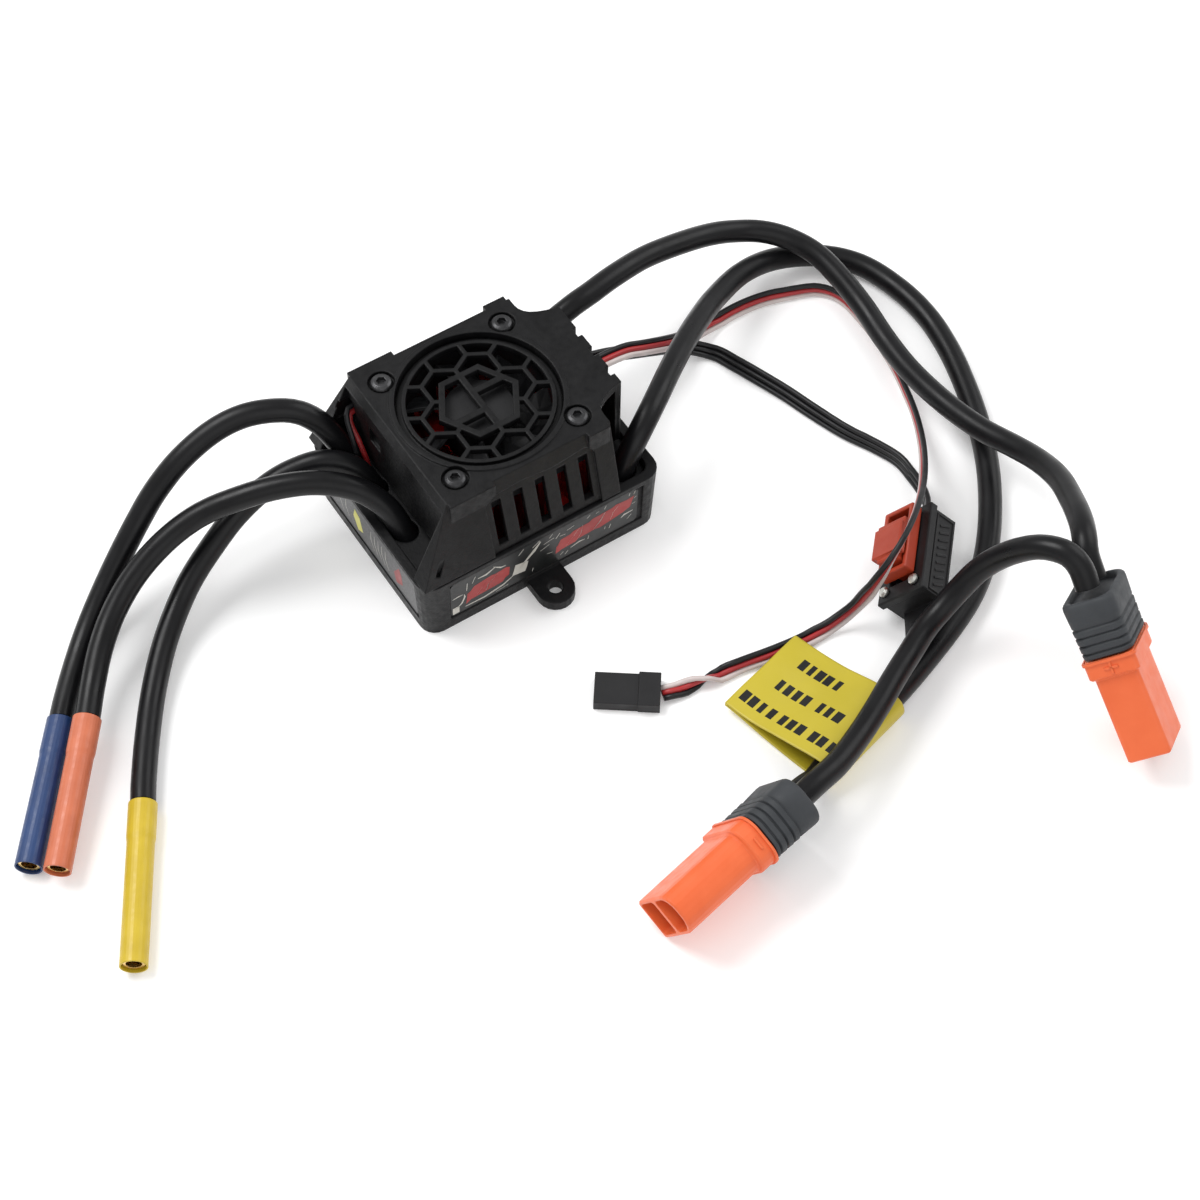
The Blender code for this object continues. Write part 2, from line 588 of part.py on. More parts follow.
def add_fan_frame():
    top = FAN_BOTTOM + FAN_DEPTH
    half = FAN_SIDE / 2
    frame = add_object("fan_frame", rounded_block(half, half, FAN_BOTTOM, top, 2.4 * MM, 0, 3),
                       SWITCH_PLASTIC, matrix=Matrix.Translation((FAN_X, 0, 0)))
    bore = cylinder(FAN_BORE_RADIUS, FAN_BOTTOM - MM, top + MM, (FAN_X, 0), 40)
    combine(frame, add_cutter("fan_bore", bore))
    hub = cylinder(7.2 * MM, FAN_BOTTOM, FAN_BOTTOM + 1.4 * MM, (FAN_X, 0), 32)
    combine(frame, add_cutter("motor_seat", hub), "UNION")
    for i in range(3):
        spoke = box((0, -1 * MM, FAN_BOTTOM), (FAN_BORE_RADIUS + 0.4 * MM, 1 * MM,
                                               FAN_BOTTOM + 1.4 * MM))
        turn = Matrix.Translation((FAN_X, 0, 0)) @ Matrix.Rotation(math.radians(40 + 120 * i), 4, "Z")
        combine(frame, add_cutter("spoke_%d" % i, spoke, turn), "UNION")
    holes = bmesh.new()
    for x, y in screw_places():
        append(holes, cylinder(1.4 * MM, FAN_BOTTOM - MM, top + MM, (x, y), 12))
    combine(frame, add_cutter("frame_holes", holes))
    waist = []
    for x, y in screw_places():
        dx = math.copysign(3.2 * MM, x - FAN_X)
        dy = math.copysign(3.2 * MM, y)
        low = (min(x - dx, x + 2 * dx), min(y - dy, y + 2 * dy), FAN_BOTTOM + 2 * MM)
        high = (max(x - dx, x + 2 * dx), max(y - dy, y + 2 * dy), top - 2 * MM)
        waist.append((low, high))
    combine(frame, add_cutter("frame_waists", boxes(waist)))
    return frame


def add_fan_rotor():
    """Hub and seven pitched blades that turn on the fan's upright axis."""
    bottom = FAN_BOTTOM + 1.4 * MM + GAP
    top = FAN_BOTTOM + FAN_DEPTH - 0.5 * MM
    rotor = add_object("fan_rotor", cylinder(7.6 * MM, 0, top - bottom, sides=36), SWITCH_PLASTIC)
    rotor.location = (FAN_X, 0, bottom)
    for i in range(7):
        blade = fan_blade(6.8 * MM, 15.4 * MM, 0.6 * MM, top - bottom - 0.8 * MM)
        turn = Matrix.Translation((FAN_X, 0, bottom)) @ Matrix.Rotation(2 * math.pi * i / 7, 4, "Z")
        combine(rotor, add_cutter("blade_%d" % i, blade, turn), "UNION")
    return rotor


def fan_blade(inner, outer, low, high):
    """A closed blade: a sheet that sweeps backwards as it rises, given thickness."""
    bm = bmesh.new()
    rows = []
    for j in range(4):
        share = j / 3
        radius = inner + (outer - inner) * share
        sweep = 10 * share
        row = []
        for k in range(4):
            lift = k / 3
            angle = math.radians(sweep + 34 * lift ** 1.2)
            row.append(bm.verts.new((radius * math.cos(angle), radius * math.sin(angle),
                                     low + (high - low) * lift)))
        rows.append(row)
    for a, b in zip(rows, rows[1:]):
        for k in range(3):
            bm.faces.new((a[k], a[k + 1], b[k + 1], b[k]))
    bmesh.ops.recalc_face_normals(bm, faces=bm.faces)
    bmesh.ops.solidify(bm, geom=bm.faces[:] + bm.edges[:] + bm.verts[:], thickness=0.8 * MM)
    return bm


def hexagon(center, radius, bottom, top, turn=30):
    """A six-sided prism, with a corner towards turn degrees from +X."""
    points = [(center[0] + radius * math.cos(math.radians(60 * i + turn)),
               center[1] + radius * math.sin(math.radians(60 * i + turn))) for i in range(6)]
    return prism(points, bottom, top)


def add_fan_guard():
    """A honeycomb guard in the shroud's opening, round a plain six-sided ring."""
    low = CASE_HEIGHT - 1.9 * MM
    high = CASE_HEIGHT - 0.4 * MM
    center = (FAN_X, 0)
    guard = add_object("fan_guard", cylinder(OPENING_RADIUS - GAP, low, high, center, 64),
                       CASE_PLASTIC)
    groove = add_cutter("guard_groove", cylinder(30 * MM, low + 0.5 * MM, high + MM, center, 64))
    inner = cylinder(GUARD_RADIUS, low - MM, high + 2 * MM, center, 64)
    combine(groove, add_cutter("guard_disc", inner))
    combine(guard, groove)
    cells = bmesh.new()
    for row in range(-2, 3):
        for column in range(-2, 3):
            x = (column + (row % 2) / 2) * GUARD_PITCH
            y = row * GUARD_PITCH * math.sqrt(3) / 2
            if 1 * MM < math.hypot(x, y) < 19 * MM:
                append(cells, hexagon((FAN_X + x, y), GUARD_PITCH / math.sqrt(3) - 0.52 * MM,
                                      low - MM, high + MM))
    cutter = add_cutter("guard_cells", cells)
    rim = cylinder(GUARD_RADIUS - 0.9 * MM, low - 2 * MM, high + 2 * MM, center, 64)
    combine(cutter, add_cutter("guard_rim", rim), "INTERSECT")
    ring = hexagon(center, GUARD_RING, low - 3 * MM, high + 3 * MM, 0)
    combine(cutter, add_cutter("guard_ring", ring))
    combine(guard, cutter)
    windows = add_cutter("guard_windows", hexagon(center, GUARD_RING - 1.5 * MM, low - MM,
                                                  high + MM, 0))
    arms = boxes([((FAN_X - 0.7 * MM, -12 * MM, low - 2 * MM),
                   (FAN_X + 0.7 * MM, 12 * MM, high + 2 * MM))])
    combine(windows, add_cutter("guard_bar", arms))
    for sign, word in ((-1, "left"), (1, "right")):
        x = sorted((FAN_X, FAN_X + sign * 12 * MM))
        arm = box((x[0], -0.7 * MM + sign * 2.6 * MM, low - 2 * MM),
                  (x[1], 0.7 * MM + sign * 2.6 * MM, high + 2 * MM))
        combine(windows, add_cutter("guard_arm_" + word, arm))
    combine(guard, windows)
    return guard


# --- electronics -----------------------------------------------------------

def add_board():
    board = add_object("power_board", box((-26.2 * MM, -20.8 * MM, BOARD_BOTTOM),
                                          (26.2 * MM, 20.8 * MM, BOARD_TOP)), BOARD_GREEN)
    return board


def add_heatsink():
    """Finned block between the board and the fan, its fins open to the side slots."""
    half_x = 17.2 * MM
    floor = SINK_BOTTOM + 2.6 * MM
    fins = 9
    pitch = (2 * half_x - 1.4 * MM) / (fins - 1)
    outline = [(-half_x, SINK_BOTTOM)]
    for i in range(fins):
        left = -half_x + pitch * i
        outline += [(left, SINK_TOP), (left + 1.4 * MM, SINK_TOP)]
        if i < fins - 1:
            outline += [(left + 1.4 * MM, floor), (left + pitch, floor)]
    outline.append((half_x, SINK_BOTTOM))
    del outline[0]
    outline.append((-half_x, SINK_BOTTOM))
    comb = prism([(x + FAN_X, z) for x, z in outline], -17.2 * MM, 17.2 * MM)
    for vert in comb.verts:
        x, z, y = vert.co
        vert.co = (x, y, z)
    sink = add_object("heatsink", comb, RED_ANODISED)
    posts = bmesh.new()
    holes = bmesh.new()
    for x, y in screw_places():
        append(posts, cylinder(2.5 * MM, SINK_BOTTOM + 1 * MM, SINK_TOP, (x, y), 20))
        append(holes, cylinder(1.4 * MM, 18 * MM, SINK_TOP + MM, (x, y), 16))
    combine(sink, add_cutter("sink_posts", posts), "UNION")
    combine(sink, add_cutter("sink_holes", holes))
    return sink


def add_decks():
    """Covers inside the tray's rim that the leads come up through."""
    ends = (("motor_lead_deck", -27 * MM, -19 * MM), ("battery_lead_deck", 18 * MM, 27 * MM))
    for name, left, right in ends:
        deck = box((left, -21.6 * MM, DECK_TOP - 1.2 * MM), (right, 21.6 * MM, DECK_TOP))
        corners = [e for e in deck.edges if abs(e.verts[0].co.z - e.verts[1].co.z) > 1e-6
                   and abs(e.verts[0].co.x) > 24 * MM]
        bmesh.ops.bevel(deck, geom=corners, offset=2 * MM, segments=3, affect="EDGES",
                        profile=0.5)
        add_object(name, deck, CASE_PLASTIC)
    for color, route in MOTOR_ROUTES.items():
        cut_lead_hole("motor_lead_deck", color, route, POWER_LEAD_RADIUS + 0.35 * MM)
    cut_lead_hole("battery_lead_deck", "back", BACK_LEAD_ROUTE, POWER_LEAD_RADIUS + 0.35 * MM)
    cut_lead_hole("battery_lead_deck", "front", FRONT_LEAD_ROUTE, POWER_LEAD_RADIUS + 0.35 * MM)
    ribbons = box((22.4 * MM, 1.6 * MM, 10 * MM), (26 * MM, 10.2 * MM, 20 * MM))
    combine(bpy.data.objects["battery_lead_deck"], add_cutter("ribbon_hole", ribbons))
    wires = box((-28 * MM, 8.6 * MM, 10 * MM), (-21.2 * MM, 14 * MM, 20 * MM))
    combine(bpy.data.objects["motor_lead_deck"], add_cutter("wire_hole", wires))


def cut_lead_hole(deck, name, route, radius):
    """A hole through the deck along the first stretch of a lead."""
    crossing = smooth_route(route[:5], MM)
    inside = [p for p in crossing if DECK_TOP - 4 * MM < p.z < DECK_TOP + 2.5 * MM]
    axis = inside[-1] - inside[0]
    middle = min(inside, key=lambda p: abs(p.z - DECK_TOP + 0.6 * MM))
    hole = cylinder(radius, -6 * MM, 6 * MM, sides=24)
    combine(bpy.data.objects[deck], add_cutter("hole_" + name, hole, rise_to(axis, middle)))


def add_capacitors():
    for name, y in (("front", -10.0), ("middle", -3.4)):
        profile = [(0, 13.9 * MM), (2.6 * MM, 13.9 * MM), (2.9 * MM, 13.6 * MM),
                   (2.9 * MM, 8.4 * MM), (2.6 * MM, 8.1 * MM), (2.9 * MM, 7.8 * MM),
                   (2.9 * MM, BOARD_TOP + GAP), (0, BOARD_TOP + GAP)]
        capacitor = add_turned("capacitor_" + name, profile, SWITCH_PLASTIC, 24)
        capacitor.location = (20.6 * MM, y * MM, 0)


def add_headers():
    """Blocks on the board for the fan's two wires and for the two ribbon leads."""
    add_object("fan_header", box((-25.2 * MM, 8.1 * MM, BOARD_TOP + GAP),
                                 (-21.4 * MM, 10.3 * MM, 10.9 * MM)), SWITCH_PLASTIC)
    add_object("signal_header", box((19.6 * MM, 1.0 * MM, BOARD_TOP + GAP),
                                    (24.4 * MM, 9.8 * MM, 11.2 * MM)), SWITCH_PLASTIC)


# --- motor leads -----------------------------------------------------------

def add_motor_lead(color, route):
    add_tube("motor_lead_" + color, route, POWER_LEAD_RADIUS, LEAD_RUBBER)
    add_solder_cup("motor_terminal_" + color, route)
    start = Vector(route[-1]) * MM
    end = Vector(SLEEVE_ENDS[color]) * MM
    direction = (end - start).normalized()
    length = (end - start).length
    bore = SOCKET_RADIUS + GAP
    step = SLEEVE_WIDE_LENGTH
    inner = length - SOCKET_DEPTH
    profile = [(0, inner), (bore, inner), (bore, length), (SLEEVE_RADIUS, length),
               (SLEEVE_RADIUS, step + 1 * MM), (SLEEVE_WIDE_RADIUS, step),
               (SLEEVE_WIDE_RADIUS, GAP), (0, GAP)]
    sleeve = add_turned("sleeve_" + color, profile, SLEEVE_MATERIALS[color], 28)
    sleeve.matrix_world = rise_to(direction, start)
    profile = [(0, inner + 2 * MM), (SOCKET_BORE, inner + 2 * MM), (SOCKET_BORE, length - 0.6 * MM),
               (SOCKET_RADIUS, length - 0.6 * MM), (SOCKET_RADIUS, inner + GAP), (0, inner + GAP)]
    socket = add_turned("bullet_socket_" + color, profile, GOLD, 24)
    socket.matrix_world = rise_to(direction, start)


# --- battery connectors ----------------------------------------------------

def plug_outline(proud=0.0):
    """Across the connector: Y is its wide way, nearly square at -Y and well rounded at +Y."""
    wide = PLUG_HALF_WIDTH + proud
    deep = PLUG_HALF_DEPTH + proud
    points = []
    for sx, sy, radius, start in ((1, 1, PLUG_ROUND, 0), (-1, 1, PLUG_ROUND, 90),
                                  (-1, -1, PLUG_CORNER, 180), (1, -1, PLUG_CORNER, 270)):
        for i in range(6):
            angle = math.radians(start + 90 * i / 5)
            points.append((sx * (deep - radius) + radius * math.cos(angle),
                           sy * (wide - radius) + radius * math.sin(angle)))
    return points


def connector_frame(mouth, axis, wide):
    """Z points out of the mouth and Y along the wide way towards the rounded end."""
    z = Vector(axis).normalized()
    y = (Vector(wide) - z * Vector(wide).dot(z)).normalized()
    x = y.cross(z)
    turn = Matrix((x, y, z)).transposed().to_4x4()
    return Matrix.Translation(Vector(mouth) * MM) @ turn


def add_connector(name, placement):
    housing = add_object(name + "_housing", prism(plug_outline(), -PLUG_LENGTH, 0.0),
                         CONNECTOR_PLASTIC, matrix=placement)
    collar_back = -PLUG_LENGTH - COLLAR_LENGTH
    collar = prism(plug_outline(COLLAR_PROUD), collar_back, -PLUG_LENGTH)
    combine(housing, add_cutter(name + "_collar", collar, placement), "UNION")
    chamfer_edges(housing, 0.35 * MM, 1, 30)
    for word, y in (("negative", 3.8 * MM), ("positive", -3.8 * MM)):
        pocket = prism(pocket_outline(1 if y > 0 else -1), -13 * MM, 2 * MM)
        combine(housing, add_cutter(name + "_pocket_" + word, pocket, placement))
        profile = [(0, -2.5 * MM), (1.6 * MM, -2.5 * MM), (2.3 * MM, -3.4 * MM),
                   (2.3 * MM, -13 * MM + GAP), (0, -13 * MM + GAP)]
        contact = add_turned(name + "_contact_" + word, profile, GOLD, 24)
        contact.matrix_world = placement @ Matrix.Translation((0, y, 0))
    add_boot(name, placement, collar_back - GAP)


def pocket_outline(side):
    """A D-shaped pocket between the centre web and one narrow end of the plug."""
    web, end, half = 0.55 * MM, 7.3 * MM, 3.85 * MM
    outer = 3.2 * MM if side > 0 else 1.0 * MM
    points = []
    for sx, radius, edge, start in ((1, 0.9 * MM, web, -90), (1, outer, end, 0),
                                    (-1, outer, end, 90), (-1, 0.9 * MM, web, 180)):
        inward = 1 if edge == web else -1
        for i in range(5):
            angle = math.radians(start + 90 * i / 4)
            points.append((sx * (half - radius) + radius * math.cos(angle),
                           side * (edge + inward * radius + radius * math.sin(angle))))
    return points if side > 0 else points[::-1]


def add_boot(name, placement, front):
    """Ribbed rubber boot: rings of the connector's section, wide and narrow in turn."""
    rows = [(0.0, 0.4), (1.1, 0.4), (1.6, 0.0), (2.3, 0.0), (2.8, 0.5), (3.9, 0.5), (4.4, 0.1),
            (5.0, 0.1), (5.5, 0.6), (6.6, 0.6), (7.1, 0.3), (10.8, 0.5), (11.8, 0.0),
            (12.2, -0.6)]
    bm = bmesh.new()
    rings = []
    for depth, proud in rows:
        ring = []
        for x, y in boot_section(BOOT_PROUD - 1.0 * MM + proud * MM):
            ring.append(bm.verts.new((x, y, front - depth * MM)))
        rings.append(ring)
    count = len(rings[0])
    for a, b in zip(rings, rings[1:]):
        for k in range(count):
            bm.faces.new((a[k], a[(k + 1) % count], b[(k + 1) % count], b[k]))
    bm.faces.new(rings[0])
    bm.faces.new(rings[-1])
    add_object(name + "_boot", bm, BOOT_RUBBER, matrix=placement)


def boot_section(proud):
    """The plug's outline with every corner rounded by a short arc."""
    wide = PLUG_HALF_WIDTH + proud
    deep = PLUG_HALF_DEPTH + proud
    points = []
    for sx, sy in ((1, 1), (-1, 1), (-1, -1), (1, -1)):
        radius = (3.9 if sy > 0 else 2.4) * MM
        start = {(1, 1): 0, (-1, 1): 90, (-1, -1): 180, (1, -1): 270}[(sx, sy)]
        for i in range(5):
            angle = math.radians(start + 90 * i / 4)
            points.append((sx * (deep - radius) + radius * math.cos(angle),
                           sy * (wide - radius) + radius * math.sin(angle)))
    return points


# --- receiver lead and switch ----------------------------------------------

def add_receiver_plug():
    forward = Vector((-0.81, 0.59, 0)).normalized()
    across = Vector((-forward.y, forward.x, 0))
    origin = Vector((4.1, -62.1, 0)) * MM + forward * GAP
    turn = Matrix((forward, across, Vector((0, 0, 1)))).transposed().to_4x4()
    placement = Matrix.Translation(origin) @ turn
    plug = add_object("receiver_plug", box((0, -3.8 * MM, 0), (13.8 * MM, 3.8 * MM, 2.7 * MM)),
                      SWITCH_PLASTIC, matrix=placement)
    step = box((0, -4.1 * MM, 0.2 * MM), (4.6 * MM, 4.1 * MM, 3.1 * MM))
    combine(plug, add_cutter("receiver_plug_step", step, placement), "UNION")
    slots = [((9 * MM, (y - 0.45) * MM, 0.8 * MM), (16 * MM, (y + 0.45) * MM, 1.9 * MM))
             for y in (-2.54, 0, 2.54)]
    combine(plug, add_cutter("receiver_plug_slots", boxes(slots), placement))
    chamfer_edges(plug, 0.2 * MM, 1, 40)


def switch_placement():
    """X runs along the switch away from its lead, Z points out of its face."""
    along = Vector((-0.68, -0.73, 0)).normalized()
    side = Vector((0.73, -0.68, 0)).normalized()
    lean = math.radians(50)
    across = side * math.cos(lean) + Vector((0, 0, math.sin(lean)))
    face = along.cross(across)
    turn = Matrix((along, across, face)).transposed().to_4x4()
    return Matrix.Translation(Vector((63.2, -65.4, 9.9)) * MM) @ turn


def add_switch():
    placement = switch_placement()
    half = SWITCH_WIDTH / 2
    body = box((-SWITCH_HALF_LENGTH + 0.6 * MM, -half + 0.7 * MM, -SWITCH_DEPTH),
               (SWITCH_HALF_LENGTH - 0.6 * MM, half - 0.7 * MM, -SWITCH_PLATE - GAP))
    body = add_object("switch_body", body, SWITCH_PLASTIC, matrix=placement)
    outline = [(SWITCH_HALF_LENGTH - 1.5 * MM, -4.6 * MM)]
    steps = 8
    for i in range(steps + 1):
        angle = math.radians(-90 + 180 * i / steps)
        outline.append((SWITCH_HALF_LENGTH + 6 * MM + 3 * MM * math.cos(angle),
                        3 * MM * math.sin(angle)))
    outline.append((SWITCH_HALF_LENGTH - 1.5 * MM, 4.6 * MM))
    ear = prism(outline, -SWITCH_DEPTH, -SWITCH_DEPTH + 2 * MM)
    combine(body, add_cutter("switch_ear", ear, placement), "UNION")
    hole = cylinder(1.5 * MM, -SWITCH_DEPTH - MM, -SWITCH_DEPTH + 3 * MM,
                    (SWITCH_HALF_LENGTH + 6 * MM, 0), 20)
    combine(body, add_cutter("switch_ear_hole", hole, placement))
    well = box((-9.2 * MM, -3.2 * MM, -6 * MM), (7.2 * MM, 3.2 * MM, MM))
    combine(body, add_cutter("switch_well", well, placement))
    plate = box((-SWITCH_HALF_LENGTH, -half, -SWITCH_PLATE), (SWITCH_HALF_LENGTH, half, 0))
    plate = add_object("switch_plate", plate, SWITCH_PLASTIC, matrix=placement)
    window = box((-9.2 * MM, -3.2 * MM, -4 * MM), (7.2 * MM, 3.2 * MM, MM))
    combine(plate, add_cutter("switch_window", window, placement))
    holes = bmesh.new()
    for y in (-4.2 * MM, 4.2 * MM):
        append(holes, cylinder(0.9 * MM, -5 * MM, 2 * MM, (8.6 * MM, y), 16))
    holes = add_cutter("switch_screw_holes", holes, placement)
    combine(plate, holes)
    combine(body, holes)
    chamfer_edges(plate, 0.4 * MM, 1, 40)
    add_switch_bezel(placement)
    add_switch_button(placement)
    for word, y in (("upper", 4.2 * MM), ("lower", -4.2 * MM)):
        profile = [(0, 0.9 * MM + GAP), (0.8 * MM, 0.9 * MM + GAP), (1.2 * MM, 0.5 * MM + GAP),
                   (1.2 * MM, GAP), (0.65 * MM, GAP), (0.65 * MM, -4.6 * MM), (0, -4.6 * MM)]
        screw = add_turned("switch_screw_" + word, profile, BRIGHT_STEEL, 16)
        screw.matrix_world = placement @ Matrix.Translation((8.6 * MM, y, 0))


def add_switch_bezel(placement):
    """The orange frame round the button, standing on the face plate."""
    bezel = box((-10 * MM, -4.1 * MM, GAP), (6.7 * MM, 4.1 * MM, 3.2 * MM))
    bezel = add_object("switch_bezel", bezel, BUTTON_PLASTIC, matrix=placement)
    window = box((-8.9 * MM, -3.1 * MM, -MM), (5.6 * MM, 3.1 * MM, 5 * MM))
    combine(bezel, add_cutter("bezel_window", window, placement))
    chamfer_edges(bezel, 0.3 * MM, 2, 40)


def add_switch_button(placement):
    """The sliding button: a stem in the well under a wider thumb grip."""
    button = box((-5.6 * MM, -2.7 * MM, -5.5 * MM), (4.7 * MM, 2.7 * MM, 5.2 * MM))
    button = add_object("switch_button", button, BUTTON_PLASTIC, matrix=placement)
    grip = box((-5.6 * MM, -4.0 * MM, 3.5 * MM), (3.6 * MM, 4.0 * MM, 5.6 * MM))
    combine(button, add_cutter("button_grip", grip, placement), "UNION")
    step = box((-8 * MM, -5 * MM, 4.8 * MM), (-4.1 * MM, 5 * MM, 8 * MM))
    combine(button, add_cutter("button_step", step, placement))
    chamfer_edges(button, 0.3 * MM, 1, 40)


# --- tag -------------------------------------------------------------------

def add_tag():
    """A film strip looped round the front battery lead, its ends laid together."""
    path = [(24.8, 2.0), (21, 1.8), (15, 1.0), (8, 0.4), (2, 0.3), (-1.8, 0.6), (-3.6, 2.2),
            (-4.1, 4.4), (-3.1, 6.7), (-0.6, 7.7), (3, 7.2), (7, 6), (12, 4.5), (18, 3.2),
            (24.8, 2.7)]
    flap = Vector((-0.25, 0.97, 0)).normalized()
    along = Vector((0.97, 0.25, 0)).normalized()
    turn = Matrix((flap, along, Vector((0, 0, 1)))).transposed().to_4x4()
    placement = Matrix.Translation(Vector((30.3, -92.9, 0)) * MM) @ turn
    bm = bmesh.new()
    edges = []
    for y in (-11.4 * MM, 11.4 * MM):
        edges.append([bm.verts.new((x * MM, y, z * MM)) for x, z in path])
    for a, b, c, d in zip(edges[0], edges[0][1:], edges[1][1:], edges[1]):
        bm.faces.new((a, b, c, d))
    tag = add_object("warning_tag", bm, TAG_FILM, matrix=placement)
    thick = tag.modifiers.new("film", "SOLIDIFY")
    thick.thickness = 0.3 * MM
    thick.offset = 0.0


# --- assembly --------------------------------------------------------------

add_lower_case()
add_labels()
add_shroud()
add_fan_guard()
add_shroud_screws()
add_fan_frame()
add_fan_rotor()
add_board()
add_heatsink()
add_capacitors()
add_headers()
add_decks()
for wire, wire_route in FAN_WIRE_ROUTES.items():
    add_tube("fan_wire_" + wire, wire_route, 0.6 * MM, WIRE_MATERIALS[wire], 1.6 * MM)
for lead, lead_route in MOTOR_ROUTES.items():
    add_motor_lead(lead, lead_route)
add_tube("battery_lead_back", BACK_LEAD_ROUTE, POWER_LEAD_RADIUS, LEAD_RUBBER)
add_solder_cup("battery_terminal_back", BACK_LEAD_ROUTE)
add_tube("battery_lead_front", FRONT_LEAD_ROUTE, POWER_LEAD_RADIUS, LEAD_RUBBER)
add_solder_cup("battery_terminal_front", FRONT_LEAD_ROUTE)
add_tube("jumper_lead", JUMPER_ROUTE, POWER_LEAD_RADIUS, LEAD_RUBBER)
add_connector("raised_plug", connector_frame((80.3, -128.4, 5.4), (-0.01, -0.755, -0.655),
                                             (0.72, 0.44, -0.53)))
add_connector("flat_plug", connector_frame((-26.6, -108.6, 9.9), (-0.98, -0.2, -0.03),
                                           (0.07, -0.47, 0.88)))
add_tube("receiver_lead", RECEIVER_ROUTE, RIBBON_RADIUS, WIRE_MATERIALS["black"], LEAD_STEP, 1)
add_receiver_plug()
add_tube("switch_lead", SWITCH_LEAD_ROUTE, RIBBON_RADIUS, WIRE_MATERIALS["black"], LEAD_STEP, 1)
add_switch()
add_tag()
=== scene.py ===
"""Looks for the electronic speed controller: camera, light, leads, surfaces and small details."""

import json
import math

import bmesh
import bpy
from mathutils import Matrix, Quaternion, Vector
from mathutils.geometry import interpolate_bezier


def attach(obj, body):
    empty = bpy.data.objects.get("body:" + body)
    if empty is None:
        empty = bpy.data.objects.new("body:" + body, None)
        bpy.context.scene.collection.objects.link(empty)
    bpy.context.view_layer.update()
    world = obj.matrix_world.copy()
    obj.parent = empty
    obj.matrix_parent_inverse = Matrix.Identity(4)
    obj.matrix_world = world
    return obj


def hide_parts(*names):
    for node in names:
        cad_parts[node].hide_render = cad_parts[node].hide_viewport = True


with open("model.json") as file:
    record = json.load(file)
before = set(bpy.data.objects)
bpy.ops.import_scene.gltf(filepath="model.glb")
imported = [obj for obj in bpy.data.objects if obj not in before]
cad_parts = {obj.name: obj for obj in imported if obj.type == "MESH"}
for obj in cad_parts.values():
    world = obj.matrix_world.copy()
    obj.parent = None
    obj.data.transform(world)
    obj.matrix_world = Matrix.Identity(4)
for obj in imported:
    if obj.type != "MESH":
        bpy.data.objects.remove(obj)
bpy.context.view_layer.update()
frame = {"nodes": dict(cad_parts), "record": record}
MM = 0.001
BODY = "controller"

# Case and labels, metres
CASE_HALF_LENGTH = 29.55 * MM
CASE_HALF_WIDTH = 24.15 * MM
CASE_DRAFT = 0.6 * MM           # how much wider the tray is at its rim
TRAY_HEIGHT = 17.2 * MM
LABEL_RECESS = 0.42 * MM

# Connectors, tag and switch, millimetres
PLUG_HALF_WIDTH = 8.1
PLUG_HALF_DEPTH = 4.6
PLUG_LENGTH = 18.9
COLLAR_LENGTH = 4.0
COLLAR_PROUD = 0.8
BOOT_GAP = 0.3
TAG_WIDTH = 22.6
SWITCH_ORIGIN = (63.2, -65.4, 9.9)


# --- camera, floor and light -------------------------------------------------

def add_camera():
    azimuth, elevation, roll = math.radians(-33.714), math.radians(56.345), math.radians(0.658)
    target = Vector((6.54, -34.89, 0.0)) * MM
    back = Vector((math.sin(azimuth) * math.cos(elevation),
                   -math.cos(azimuth) * math.cos(elevation), math.sin(elevation)))
    data = bpy.data.cameras.new("camera")
    data.lens = 76.74
    data.sensor_width = 36.0
    data.clip_start = 0.01
    data.clip_end = 20.0
    camera = bpy.data.objects.new("camera", data)
    bpy.context.scene.collection.objects.link(camera)
    camera.rotation_mode = "QUATERNION"
    camera.location = target + back * 0.544
    camera.rotation_quaternion = (-back).to_track_quat("-Z", "Y") @ Quaternion((0, 0, 1), roll)
    bpy.context.scene.camera = camera


def add_area_light(name, place, size, power, target=(0.0, -0.03, 0.0), color=(1, 1, 1)):
    data = bpy.data.lights.new(name, "AREA")
    data.shape = "DISK"
    data.size = size
    data.energy = power
    data.color = color
    light = bpy.data.objects.new(name, data)
    bpy.context.scene.collection.objects.link(light)
    light.location = place
    light.rotation_mode = "QUATERNION"
    light.rotation_quaternion = (Vector(target) - Vector(place)).to_track_quat("-Z", "Y")


def add_studio():
    bm = bmesh.new()
    bmesh.ops.create_grid(bm, x_segments=1, y_segments=1, size=6.0)
    floor = mesh_object("floor", bm)
    floor.location.z = -0.00005
    material = surface("floor_white", (0.9, 0.9, 0.9), (0.91, 0.91, 0.91), 0.7, 900, 0.000005,
                       patch=3.0, edge=0.0, specular=0.1)
    shader = material.node_tree.nodes["Principled BSDF"]
    shader.inputs["Emission Color"].default_value = (1.0, 1.0, 1.0, 1.0)
    shader.inputs["Emission Strength"].default_value = 0.16
    floor.data.materials.append(material)
    world = bpy.data.worlds.new("studio")
    bpy.context.scene.world = world
    world.use_nodes = True
    background = world.node_tree.nodes["Background"]
    background.inputs["Color"].default_value = (1.0, 1.0, 1.0, 1.0)
    background.inputs["Strength"].default_value = 0.62
    add_area_light("key_light", (-0.3, 0.4, 0.8), 0.55, 6.2)
    add_area_light("side_light", (0.75, -0.05, 0.6), 0.7, 2.6)
    add_area_light("front_light", (-0.2, -0.8, 0.6), 0.9, 1.7)
    bpy.context.scene.view_settings.view_transform = "Standard"


# --- helpers -----------------------------------------------------------------

def mesh_object(name, bm, *materials):
    bm.normal_update()
    mesh = bpy.data.meshes.new(name)
    bm.to_mesh(mesh)
    bm.free()
    for material in materials:
        mesh.materials.append(material)
    obj = bpy.data.objects.new(name, mesh)
    bpy.context.scene.collection.objects.link(obj)
    return obj


